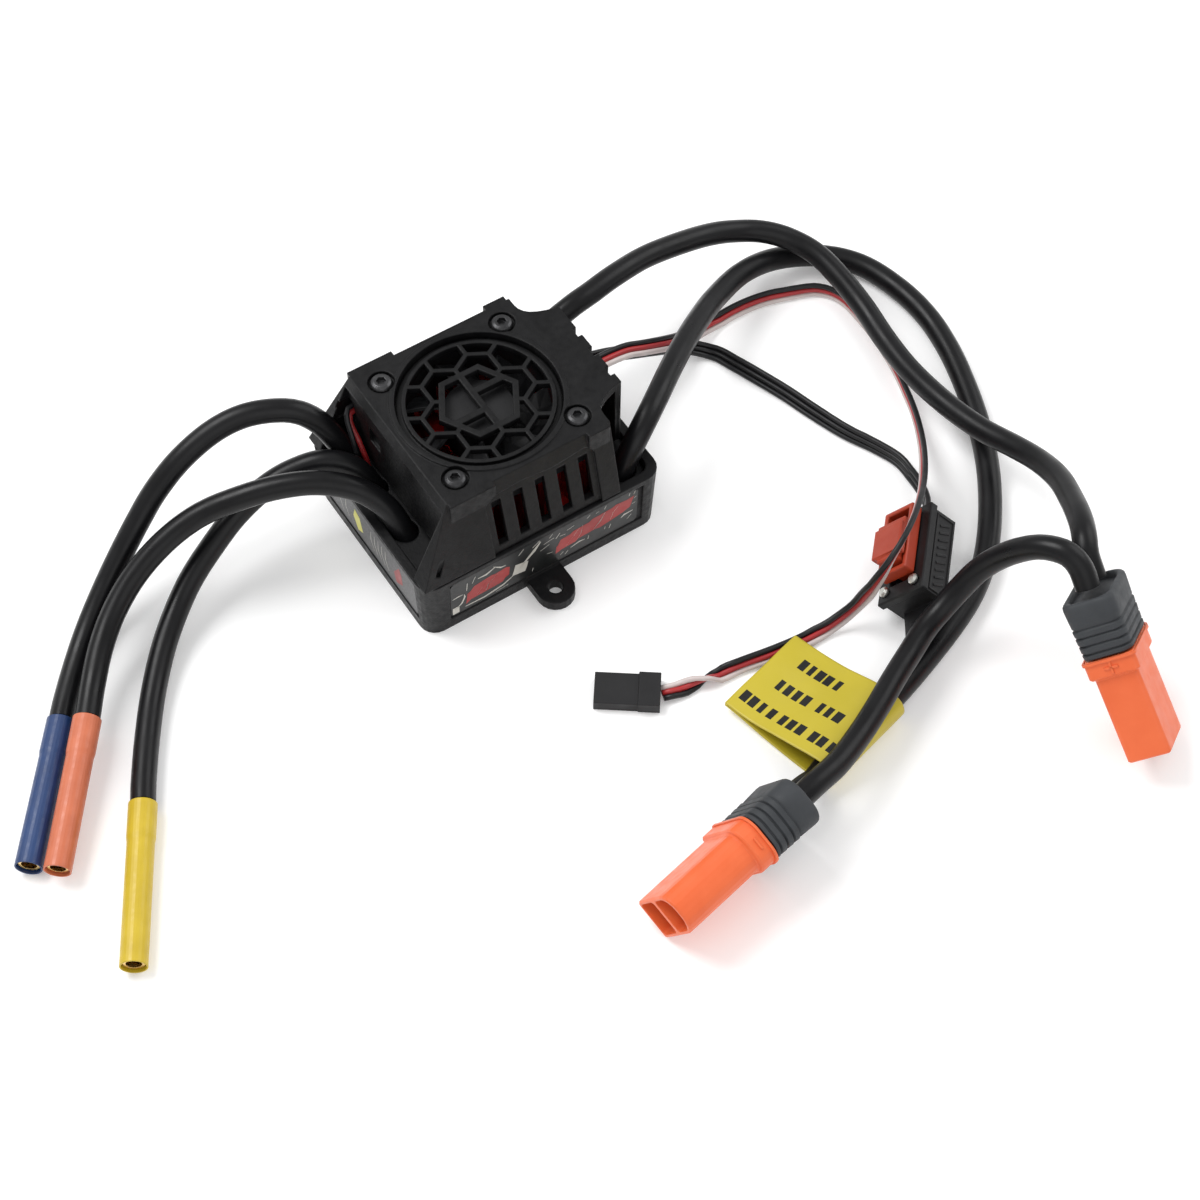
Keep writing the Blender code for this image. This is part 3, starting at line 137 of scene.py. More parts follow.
def smooth(obj, angle=35):
    obj.data.shade_smooth()
    obj.data.set_sharp_from_angle(angle=math.radians(angle))


def new_material(name, color, roughness, metallic=0.0, specular=0.5):
    material = bpy.data.materials.new(name)
    material.use_nodes = True
    shader = material.node_tree.nodes["Principled BSDF"]
    shader.inputs["Base Color"].default_value = (*color, 1.0)
    shader.inputs["Roughness"].default_value = roughness
    shader.inputs["Metallic"].default_value = metallic
    shader.inputs["Specular IOR Level"].default_value = specular
    return material


def node(material, kind, **settings):
    made = material.node_tree.nodes.new(kind)
    for key, value in settings.items():
        setattr(made, key, value)
    return made


def link(material, source, target):
    material.node_tree.links.new(source, target)


def noise(material, scale, detail=3.0, stretch=None, roughness=0.5):
    """A noise texture in object space; scale is in repeats per metre."""
    coordinates = node(material, "ShaderNodeTexCoord")
    texture = node(material, "ShaderNodeTexNoise")
    texture.inputs["Scale"].default_value = scale
    texture.inputs["Detail"].default_value = detail
    texture.inputs["Roughness"].default_value = roughness
    if stretch:
        mapping = node(material, "ShaderNodeMapping")
        mapping.inputs["Scale"].default_value = stretch
        link(material, coordinates.outputs["Object"], mapping.inputs["Vector"])
        link(material, mapping.outputs["Vector"], texture.inputs["Vector"])
    else:
        link(material, coordinates.outputs["Object"], texture.inputs["Vector"])
    return texture


def surface(name, dark, light, roughness, grain, depth, patch=120.0, metallic=0.0,
            spread=0.08, edge=0.00025, coat=0.0, specular=0.5, stretch=None):
    """A moulded surface: colour that drifts between two tones, uneven gloss, fine grain and
    softly rounded edges.  grain and patch are in repeats per metre, depth in metres."""
    material = new_material(name, dark, roughness, metallic, specular)
    shader = material.node_tree.nodes["Principled BSDF"]
    shader.inputs["Coat Weight"].default_value = coat
    drift = noise(material, patch, 4.0, stretch)
    ramp = node(material, "ShaderNodeValToRGB")
    ramp.color_ramp.elements[0].position = 0.3
    ramp.color_ramp.elements[0].color = (*dark, 1.0)
    ramp.color_ramp.elements[1].position = 0.7
    ramp.color_ramp.elements[1].color = (*light, 1.0)
    link(material, drift.outputs["Fac"], ramp.inputs["Fac"])
    link(material, ramp.outputs["Color"], shader.inputs["Base Color"])
    gloss = node(material, "ShaderNodeMapRange")
    gloss.inputs["From Min"].default_value = 0.3
    gloss.inputs["From Max"].default_value = 0.7
    gloss.inputs["To Min"].default_value = max(0.05, roughness - spread)
    gloss.inputs["To Max"].default_value = min(1.0, roughness + spread)
    wear = noise(material, patch * 3.1, 5.0, stretch)
    link(material, wear.outputs["Fac"], gloss.inputs["Value"])
    link(material, gloss.outputs["Result"], shader.inputs["Roughness"])
    bevel = node(material, "ShaderNodeBevel", samples=6)
    bevel.inputs["Radius"].default_value = edge
    bump = node(material, "ShaderNodeBump")
    bump.inputs["Strength"].default_value = 1.0
    bump.inputs["Distance"].default_value = depth
    fine = noise(material, grain, 2.0, stretch)
    link(material, fine.outputs["Fac"], bump.inputs["Height"])
    if edge:
        link(material, bevel.outputs["Normal"], bump.inputs["Normal"])
    link(material, bump.outputs["Normal"], shader.inputs["Normal"])
    return material


MATERIALS = {
    "case_plastic": surface("case_plastic", (0.004, 0.004, 0.0045), (0.0075, 0.0075, 0.008), 0.43,
                            2600, 0.00004, patch=260, spread=0.12, edge=0.0005,
                            specular=0.2),
    "switch_plastic": surface("switch_plastic", (0.006, 0.006, 0.007), (0.01, 0.01, 0.011), 0.5,
                              3500, 0.00002, edge=0.00025, specular=0.35),
    "lead_rubber": surface("lead_rubber", (0.0035, 0.0035, 0.004), (0.007, 0.007, 0.008), 0.35,
                           2600, 0.000012, patch=70, edge=0.0, specular=0.23),
    "boot_rubber": surface("boot_rubber", (0.034, 0.037, 0.041), (0.047, 0.051, 0.056), 0.62,
                           3000, 0.00002, edge=0.0002, specular=0.3),
    "connector_plastic": surface("connector_plastic", (0.74, 0.125, 0.034), (0.8, 0.15, 0.046),
                                 0.42, 2200, 0.00001, edge=0.00035, specular=0.4),
    "button_plastic": surface("button_plastic", (0.33, 0.03, 0.008), (0.4, 0.042, 0.012), 0.42,
                              2600, 0.000012, edge=0.0003),
    "red_anodised_aluminium": surface("red_anodised", (0.32, 0.012, 0.012), (0.42, 0.02, 0.02),
                                      0.36, 2500, 0.00001, metallic=0.9),
    "circuit_board": surface("circuit_board", (0.008, 0.03, 0.016), (0.012, 0.045, 0.022), 0.35,
                             1500, 0.00003),
    "black_oxide_steel": surface("black_oxide", (0.045, 0.045, 0.047), (0.075, 0.075, 0.078),
                                 0.33, 3000, 0.000012, metallic=0.85, edge=0.0002),
    "zinc_plated_steel": surface("zinc_plate", (0.5, 0.5, 0.46), (0.66, 0.66, 0.62), 0.3,
                                 3000, 0.00001, metallic=1.0, edge=0.0001),
    "gold_plated_brass": surface("gold_plate", (0.8, 0.55, 0.2), (0.9, 0.65, 0.28), 0.24,
                                 2500, 0.000005, metallic=1.0, edge=0.0001),
    "tinned_copper": surface("tinned_copper", (0.55, 0.55, 0.52), (0.68, 0.68, 0.66), 0.34,
                             900, 0.00005, metallic=1.0, edge=0.0003),
    "label_film": surface("label_film", (0.007, 0.008, 0.008), (0.012, 0.013, 0.013), 0.36,
                          1800, 0.000004, edge=0.0),
    "yellow_tag_film": surface("yellow_tag_film", (0.46, 0.37, 0.018), (0.52, 0.42, 0.026), 0.4,
                               1500, 0.000008, patch=60, edge=0.0),
    "blue_sleeve": surface("blue_sleeve", (0.006, 0.03, 0.115), (0.009, 0.042, 0.15), 0.42,
                           900, 0.00003, patch=220, edge=0.0002),
    "orange_sleeve": surface("orange_sleeve", (0.5, 0.125, 0.055), (0.58, 0.155, 0.07), 0.44,
                             900, 0.00003, patch=220, edge=0.0002),
    "yellow_sleeve": surface("yellow_sleeve", (0.5, 0.35, 0.01), (0.57, 0.41, 0.016), 0.42,
                             900, 0.00003, patch=220, edge=0.0002),
    "red_wire": surface("red_wire", (0.32, 0.014, 0.018), (0.4, 0.022, 0.024), 0.4,
                        2600, 0.000012, edge=0.0),
    "black_wire": surface("black_wire", (0.005, 0.005, 0.006), (0.009, 0.009, 0.01), 0.4,
                          2600, 0.000012, edge=0.0, specular=0.34),
}
WHITE_WIRE = surface("white_wire", (0.52, 0.44, 0.43), (0.6, 0.53, 0.51), 0.42, 2600, 0.000012,
                     edge=0.0)
RED_PRINT = surface("red_print", (0.26, 0.014, 0.014), (0.38, 0.024, 0.022), 0.4, 1500, 0.000006,
                    edge=0.0)
PALE_PRINT = surface("pale_print", (0.42, 0.41, 0.37), (0.56, 0.55, 0.5), 0.4, 1500, 0.000006,
                     edge=0.0)
GREY_PRINT = surface("grey_print", (0.025, 0.025, 0.027), (0.06, 0.06, 0.063), 0.36, 1500, 0.000006,
                     patch=900, edge=0.0)
YELLOW_PRINT = surface("yellow_print", (0.62, 0.58, 0.1), (0.72, 0.68, 0.18), 0.4, 1500,
                       0.000006, edge=0.0)
TAG_PRINT = surface("tag_print", (0.006, 0.006, 0.006), (0.012, 0.012, 0.011), 0.42, 1500,
                    0.000006, edge=0.0, specular=0.3)
SLOTS = {part["node"]: part["material_slot"] for part in frame["record"]["subparts"]}


def paint_nodes():
    """Give every CAD node its own finish."""
    for name, obj in frame["nodes"].items():
        obj.data.materials.clear()
        obj.data.materials.append(MATERIALS[SLOTS[name]])
        for polygon in obj.data.polygons:
            polygon.material_index = 0
        smooth(obj, 28)


# --- leads -------------------------------------------------------------------

RECEIVER_ROLL = [(0.0, 15), (0.1, 25), (0.26, 55), (0.38, 88), (0.5, 92), (0.62, 80),
                 (0.74, 80), (0.8, 95), (0.84, 120), (0.87, 165), (0.93, 125), (1.0, 360)]
SWITCH_ROLL = [(0.0, 10), (0.3, 15), (0.6, 40), (0.85, 75), (1.0, 90)]

MOTOR_ROUTES = {
    "blue": [
        (-23.6, 13.4, 10.3), (-24.3, 14.4, 17), (-26.6, 15.9, 23.8), (-29.2, 18.8, 29),
        (-33.6, 21.8, 32.2), (-41.2, 24.9, 33), (-48.8, 26.3, 31.5), (-57.1, 26.2, 28),
        (-64.3, 25.4, 23), (-70.5, 23.6, 18), (-77.4, 20.9, 12.5), (-84, 17.4, 8),
        (-89.9, 13.2, 5), (-95.3, 8, 3.6), (-100.3, 2.3, 3.2), (-103.2, -1.5, 3.2),
    ],
    "orange": [
        (-22.8, -9.3, 9.8), (-24.1, -6.6, 15.4), (-25.6, -3, 20.6), (-29.4, 1.4, 24.6),
        (-36, 5.8, 27), (-43.4, 9.4, 27), (-51.3, 12.4, 25.5), (-59.6, 15.2, 22.5),
        (-67.9, 15.7, 19), (-76.3, 14.2, 15), (-83.5, 10.8, 11.5), (-89.4, 6, 9),
        (-94.6, -0.1, 7.4), (-99, -6.2, 6.8),
    ],
    "yellow": [
        (-22.8, 4.9, 10), (-24.0, 6.6, 16.4), (-26.6, 9.6, 21.3), (-31.6, 13, 23),
        (-38.3, 15.4, 21.5), (-44.9, 15.9, 19.5), (-51.8, 15.3, 16.5), (-58.7, 13.5, 13),
        (-65.6, 10.9, 9.5), (-71.8, 7.1, 6.5), (-78.1, 1.6, 4.3), (-84.7, -6.3, 3.2),
        (-90.7, -15.1, 3), (-95.6, -23.1, 3.1), (-98.2, -27.8, 3.2),
    ],
}
BACK_LEAD_ROUTE = [
    (20.6, 18.3, 9.5), (22.6, 18.6, 15.2), (27.2, 19.1, 21.2), (34.0, 19.6, 23.8),
    (40.2, 20.6, 24), (47.7, 22.3, 23.5), (57.1, 24.5, 21.5), (67.6, 25.8, 18.5),
    (76.8, 26.3, 15.5), (83.8, 25, 13.5), (89, 22.3, 12.5), (93.2, 18.3, 11.3),
    (96.2, 12.5, 10.2), (97.4, 5.1, 9), (97.6, -4.1, 7.5), (96.3, -14.6, 7),
    (95.3, -24, 7.5), (95, -33.4, 8.8), (95.5, -41.9, 10), (96.5, -49.8, 11.5),
    (97.7, -57.5, 14), (97.8, -65.5, 17.5), (95.9, -73.5, 21.8), (92, -81.5, 26.3),
    (88, -88.3, 30.1), (85, -92.8, 31.6), (83.2, -95.9, 30.7), (82.7, -99.7, 27.6),
]
FRONT_LEAD_ROUTE = [
    (20.6, -18.6, 9.5), (22.6, -18.3, 15.2), (26.4, -17.3, 21.2), (31, -15, 24),
    (36.4, -11.3, 24.3), (43.1, -6.1, 23), (50.3, -0.6, 21), (58.1, 5.1, 18),
    (67.4, 11.3, 14), (78.8, 16.8, 10), (89.8, 18.9, 6), (100.4, 16, 3.4),
    (107, 9.1, 2.9), (110.1, -0.6, 2.8), (110.9, -11, 2.7), (109.2, -21.8, 2.7),
    (105.9, -32.4, 2.7), (101.9, -42.3, 2.7), (96.8, -52.1, 2.7), (91, -60.6, 2.7),
    (85, -67.8, 2.7), (78.8, -73.7, 2.7), (71.6, -78.5, 2.7), (63.4, -82.3, 2.7),
    (54.2, -85.8, 2.8), (45.1, -89, 3.3), (36.5, -91.4, 3.6), (28.7, -93.3, 3.9),
    (21.6, -95.6, 4.2), (17, -97.6, 5.3), (13.2, -98.9, 7.9), (8.6, -99.8, 8.5),
]
JUMPER_ROUTE = [
    (78.3, -102.3, 30.9), (78.5, -98.8, 33.8), (77.5, -95.4, 35.2), (75.3, -90.9, 33.6),
    (73, -87.2, 29.8), (70.6, -84.3, 25.3), (67.8, -82.4, 20.7), (64.4, -81.7, 16),
    (60, -82, 12.5), (55, -83.3, 10.9), (48.7, -86.3, 10.6), (42.2, -89.5, 10.7),
    (35.4, -93.1, 10.8), (28, -96.7, 11.1), (20.3, -100, 12.4), (13.8, -101.8, 13.7),
    (9.1, -102.9, 13.8),
]
RECEIVER_ROUTE = [
    (22.6, 3.2, 11.6), (24.6, 4, 16.8), (28.5, 5.2, 20), (33.3, 6.2, 19.5),
    (40.7, 7.5, 17), (46, 7.7, 14.5), (53, 8.6, 10.5), (58.9, 10.4, 6.5),
    (66.3, 12.9, 3), (74, 14, 1.2), (82.1, 13.5, 0.7), (89.2, 11.4, 0.7),
    (95.1, 8.7, 0.7), (98, 3.9, 0.7), (98.3, -4.1, 0.7), (97.4, -13, 0.7),
    (95.2, -22.6, 1.5), (91.5, -32.5, 3), (85.5, -42.7, 6.5), (77.4, -52.8, 12),
    (68.5, -61.4, 18.4), (60.9, -67.2, 21.6), (54.9, -69.8, 19), (51.4, -69.8, 12.6),
    (48.6, -68.6, 6), (43.2, -67.9, 2.2), (36.7, -67.4, 0.8), (29.5, -66.8, 0.7),
    (22.6, -65.6, 0.7), (15.8, -64.5, 0.8), (9.8, -63.6, 1.1), (4.1, -62.1, 1.4),
]
SWITCH_LEAD_ROUTE = [
    (22.6, 7.6, 11.6), (24.8, 8, 16.8), (28.6, 8.6, 19.2), (36, 8.9, 17),
    (43.8, 9.6, 12.6), (49.1, 9.8, 9.8), (55.4, 10.3, 5.9), (60.7, 9.7, 2.6),
    (64.7, 6.8, 1), (66.9, 1.4, 0.7), (68.9, -4.2, 0.7), (71.4, -11.6, 0.7),
    (73.7, -19.8, 0.7), (76.2, -27.8, 0.7), (79.3, -34.8, 0.7), (81.3, -41.4, 1.2),
    (80.3, -48.6, 3), (77.6, -54.9, 5.6), (73.7, -59.6, 8.2),
]


def smooth_route(points, step):
    """Evenly spaced points on one smooth curve through a route's own points, as the CAD has."""
    route = [Vector(p) * MM for p in points]
    count = len(route)
    slope = [(route[min(i + 1, count - 1)] - route[max(i - 1, 0)]) / 2 for i in range(count)]
    slope[0] = route[1] - route[0]
    slope[-1] = route[-1] - route[-2]
    dense = [route[0]]
    for i in range(count - 1):
        handles = (route[i] + slope[i] / 3, route[i + 1] - slope[i + 1] / 3)
        dense += interpolate_bezier(route[i], handles[0], handles[1], route[i + 1], 17)[1:]
    length = run_length(dense)
    spacing = length / max(1, round(length / step))
    evenly = [dense[0]]
    covered = 0.0
    for a, b in zip(dense, dense[1:]):
        covered += (b - a).length
        if covered >= spacing * len(evenly):
            evenly.append(b)
    evenly[-1] = dense[-1]
    return evenly


def run_length(points):
    return sum((b - a).length for a, b in zip(points, points[1:]))


def add_lead(name, route, diameter):
    """A round lead, drawn as a tube along its route in place of its CAD part."""
    line = smooth_route(route, 1.3 * MM)
    curve = bpy.data.curves.new(name + "_curve", "CURVE")
    curve.dimensions = "3D"
    curve.bevel_depth = diameter / 2
    curve.bevel_resolution = 6
    curve.use_fill_caps = True
    spline = curve.splines.new("POLY")
    spline.points.add(len(line) - 1)
    for point, place in zip(spline.points, line):
        point.co = (*place, 1.0)
    spline.use_smooth = True
    curve.materials.append(MATERIALS["lead_rubber"])
    lead = bpy.data.objects.new(name + "_visual", curve)
    bpy.context.scene.collection.objects.link(lead)
    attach(lead, BODY)
    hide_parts(name)
    return lead


def blend_angles(angles, share):
    """The ribbon's roll at a share of its length, from (share, degrees) pairs."""
    for (a, low), (b, high) in zip(angles, angles[1:]):
        if share <= b:
            t = (share - a) / (b - a)
            t = t * t * (3 - 2 * t)
            return math.radians(low + (high - low) * t)
    return math.radians(angles[-1][1])


def add_ribbon(name, route, strands, angles):
    """A flat lead of round strands side by side.  Its roll about its own line follows angles;
    at 0 it lies flat with its first strand on the left of its run."""
    line = smooth_route(route, 1.3 * MM)
    radius = 0.63 * MM
    sides = 10
    bm = bmesh.new()
    rings = [[] for _ in strands]
    for i, place in enumerate(line):
        ahead = (line[min(i + 1, len(line) - 1)] - line[max(i - 1, 0)]).normalized()
        left = Vector((0, 0, 1)).cross(ahead)
        if left.length < 0.3:
            left = Vector((0, 1, 0)).cross(ahead)
        left.normalize()
        up = ahead.cross(left)
        roll = blend_angles(angles, i / (len(line) - 1))
        wide = left * math.cos(roll) + up * math.sin(roll)
        reach = (len(strands) - 1) / 2 * 1.24 * MM * abs(wide.z) + 0.68 * MM
        place.z = max(place.z, reach)
        thick = ahead.cross(wide)
        for k in range(len(strands)):
            center = place + wide * ((len(strands) - 1) / 2 - k) * 1.24 * MM
            ring = []
            for s in range(sides):
                turn = 2 * math.pi * s / sides
                ring.append(bm.verts.new(center + wide * radius * math.cos(turn)
                                         + thick * radius * math.sin(turn)))
            rings[k].append(ring)
    for k, strand in enumerate(rings):
        for a, b in zip(strand, strand[1:]):
            for s in range(sides):
                face = bm.faces.new((a[s], a[(s + 1) % sides], b[(s + 1) % sides], b[s]))
                face.material_index = k
                face.smooth = True
        for cap in (strand[0], strand[-1]):
            bm.faces.new(cap).material_index = k
    bmesh.ops.recalc_face_normals(bm, faces=bm.faces)
    ribbon = mesh_object(name + "_visual", bm, *strands)
    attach(ribbon, BODY)
    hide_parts(name)
    return ribbon


def add_leads():
    for color, route in MOTOR_ROUTES.items():
        add_lead("motor_lead_" + color, route, 5.2 * MM)
    add_lead("battery_lead_back", BACK_LEAD_ROUTE, 5.2 * MM)
    add_lead("battery_lead_front", FRONT_LEAD_ROUTE, 5.2 * MM)
    add_lead("jumper_lead", JUMPER_ROUTE, 5.2 * MM)
    black, red = MATERIALS["black_wire"], MATERIALS["red_wire"]
    add_ribbon("receiver_lead", RECEIVER_ROUTE, (black, red, WHITE_WIRE), RECEIVER_ROLL)
    add_ribbon("switch_lead", SWITCH_LEAD_ROUTE, (black, black, black), SWITCH_ROLL)




# --- connectors --------------------------------------------------------------

def connector_frame(mouth, axis, wide):
    """Z points out of the mouth and Y along the wide way towards the rounded end."""
    z = Vector(axis).normalized()
    y = (Vector(wide) - z * Vector(wide).dot(z)).normalized()
    x = y.cross(z)
    turn = Matrix((x, y, z)).transposed().to_4x4()
    return Matrix.Translation(Vector(mouth) * MM) @ turn


def plug_section(wide, deep, proud):
    """The connector's outline: nearly square at -Y and well rounded at +Y."""
    points = []
    for sx, sy, start in ((1, 1, 0), (-1, 1, 90), (-1, -1, 180), (1, -1, 270)):
        radius = 3.9 * MM if sy > 0 else 0.9 * MM + proud * 0.3
        for i in range(9):
            angle = math.radians(start + 90 * i / 8)
            points.append((sx * (deep - radius) + radius * math.cos(angle),
                           sy * (wide - radius) + radius * math.sin(angle)))
    return points


def boot_section(proud, steps):
    """The connector's outline with every corner rounded, proud by so much all round."""
    wide = PLUG_HALF_WIDTH * MM + proud
    deep = PLUG_HALF_DEPTH * MM + proud
    points = []
    for sx, sy, start in ((1, 1, 0), (-1, 1, 90), (-1, -1, 180), (1, -1, 270)):
        radius = (3.9 if sy > 0 else 2.4) * MM
        for i in range(steps + 1):
            angle = math.radians(start + 90 * i / steps)
            points.append((sx * (deep - radius) + radius * math.cos(angle),
                           sy * (wide - radius) + radius * math.sin(angle)))
    return points


def add_boot(name, placement):
    """A rubber boot: three raised ribs near the housing and a plain sleeve towards the wires."""
    rows = [(0.15, -0.1), (0.2, 0.4), (0.95, 0.45), (1.2, 0.02), (1.4, 0.0), (1.6, 0.4),
            (2.7, 0.45), (2.95, 0.05), (3.15, 0.02), (3.35, 0.42), (4.5, 0.5), (4.75, 0.1),
            (4.95, 0.05), (5.15, 0.45), (6.2, 0.52), (6.45, 0.18), (6.65, 0.15), (6.95, 0.42),
            (8.4, 0.5), (10.9, 0.6), (11.6, 0.55), (12.0, 0.3), (12.15, -0.1), (12.1, -0.5),
            (11.8, -0.8), (10.9, -0.9)]
    front = -(PLUG_LENGTH + COLLAR_LENGTH + BOOT_GAP) * MM
    bm = bmesh.new()
    rings = []
    for depth, proud in rows:
        section = boot_section(0.3 * MM + proud * MM, 8)
        rings.append([bm.verts.new((x, y, front - depth * MM)) for x, y in section])
    count = len(rings[0])
    for a, b in zip(rings, rings[1:]):
        for k in range(count):
            bm.faces.new((a[k], a[(k + 1) % count], b[(k + 1) % count], b[k]))
    bm.faces.new(rings[0])
    bm.faces.new(rings[-1])
    bmesh.ops.recalc_face_normals(bm, faces=bm.faces)
    boot = mesh_object(name + "_boot_visual", bm, MATERIALS["boot_rubber"])
    boot.matrix_world = placement
    smooth(boot, 50)
    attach(boot, BODY)
    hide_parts(name + "_boot")


def add_signs(name, placement):
    """Raised plus and minus signs on the collar's two narrow ends, and its thin back lip."""
    bm = bmesh.new()
    lip = []
    for proud, depth in ((0.75, 22.25), (1.15, 22.25), (1.15, 22.85), (0.75, 22.85)):
        section = plug_section(PLUG_HALF_WIDTH * MM + proud * MM,
                               PLUG_HALF_DEPTH * MM + proud * MM, proud * MM)
        lip.append([bm.verts.new((x, y, -depth * MM)) for x, y in section])
    count = len(lip[0])
    for a, b in zip(lip, lip[1:] + lip[:1]):
        for k in range(count):
            bm.faces.new((a[k], a[(k + 1) % count], b[(k + 1) % count], b[k]))
    bmesh.ops.recalc_face_normals(bm, faces=bm.faces)
    depth = -(PLUG_LENGTH + COLLAR_LENGTH / 2) * MM
    reach = (PLUG_HALF_WIDTH + COLLAR_PROUD) * MM
    bars = [((0, -reach, depth), (3.0, 0.5, 0.5)), ((0, -reach, depth), (0.5, 0.5, 2.8)),
            ((0, reach, depth), (2.6, 0.5, 0.5))]
    for place, size in bars:
        made = bmesh.ops.create_cube(bm, size=1.0)
        bmesh.ops.scale(bm, vec=[s * MM for s in size], verts=made["verts"])
        bmesh.ops.translate(bm, vec=place, verts=made["verts"])
    signs = mesh_object(name + "_signs", bm, MATERIALS["connector_plastic"])
    signs.matrix_world = placement
    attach(signs, BODY)


# --- labels ------------------------------------------------------------------

def label_plate(name, width, low, high, place, material):
    """A thin printed film in its recess, with clipped corners.  place maps (u, z, out)."""
    cut = 0.8 * MM
    outline = [(-width + cut, low), (width - cut, low), (width, low + cut), (width, high - cut),
               (width - cut, high), (-width + cut, high), (-width, high - cut),
               (-width, low + cut)]
    return flat_shape(name, outline, 0.0, 0.22 * MM, place, material)


def flat_shape(name, outline, base, thick, place, material):
    bm = bmesh.new()
    back = [bm.verts.new(place(u, z, base)) for u, z in outline]
    front = [bm.verts.new(place(u, z, base + thick)) for u, z in outline]
    bm.faces.new(back)
    bm.faces.new(front)
    count = len(outline)
    for k in range(count):
        bm.faces.new((back[k], back[(k + 1) % count], front[(k + 1) % count], front[k]))
    bmesh.ops.recalc_face_normals(bm, faces=bm.faces)
    return mesh_object(name, bm, material)


def stroke(points, width):
    """The outline of a thin mark that tapers to both its ends."""
    left, right = [], []
    count = len(points)
    for i, (u, z) in enumerate(points):
        a = points[max(i - 1, 0)]
        b = points[min(i + 1, count - 1)]
        length = math.hypot(b[0] - a[0], b[1] - a[1])
        nu, nz = -(b[1] - a[1]) / length, (b[0] - a[0]) / length
        half = width / 2 * (0.35 if i in (0, count - 1) else 1.0)
        left.append(((u + nu * half) * MM, (z + nz * half) * MM))
        right.append(((u - nu * half) * MM, (z - nz * half) * MM))
    return left + right[::-1]


def join(objects):
    """One piece from several small flat shapes of one material."""
    bm = bmesh.new()
    for obj in objects:
        bm.from_mesh(obj.data)
        bpy.data.objects.remove(obj)
    return bm


def front_place(u, z, out):
    """On the front long side, which leans outwards a little as it rises."""
    lean = CASE_DRAFT * z / TRAY_HEIGHT
    return (u, -(CASE_HALF_WIDTH - CASE_DRAFT + lean - LABEL_RECESS + out), z)


def end_place(u, z, out):
    """On the motor end, which leans outwards in the same way."""
    lean = CASE_DRAFT * z / TRAY_HEIGHT
    return (-(CASE_HALF_LENGTH - CASE_DRAFT + lean - LABEL_RECESS + out), u, z)


def add_print(name, shapes, place, material):
    made = [flat_shape(name + str(i), shape, 0.2 * MM, 0.04 * MM, place, material)
            for i, shape in enumerate(shapes)]
    bm = join(made)
    piece = mesh_object(name, bm, material)
    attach(piece, BODY)
    return piece


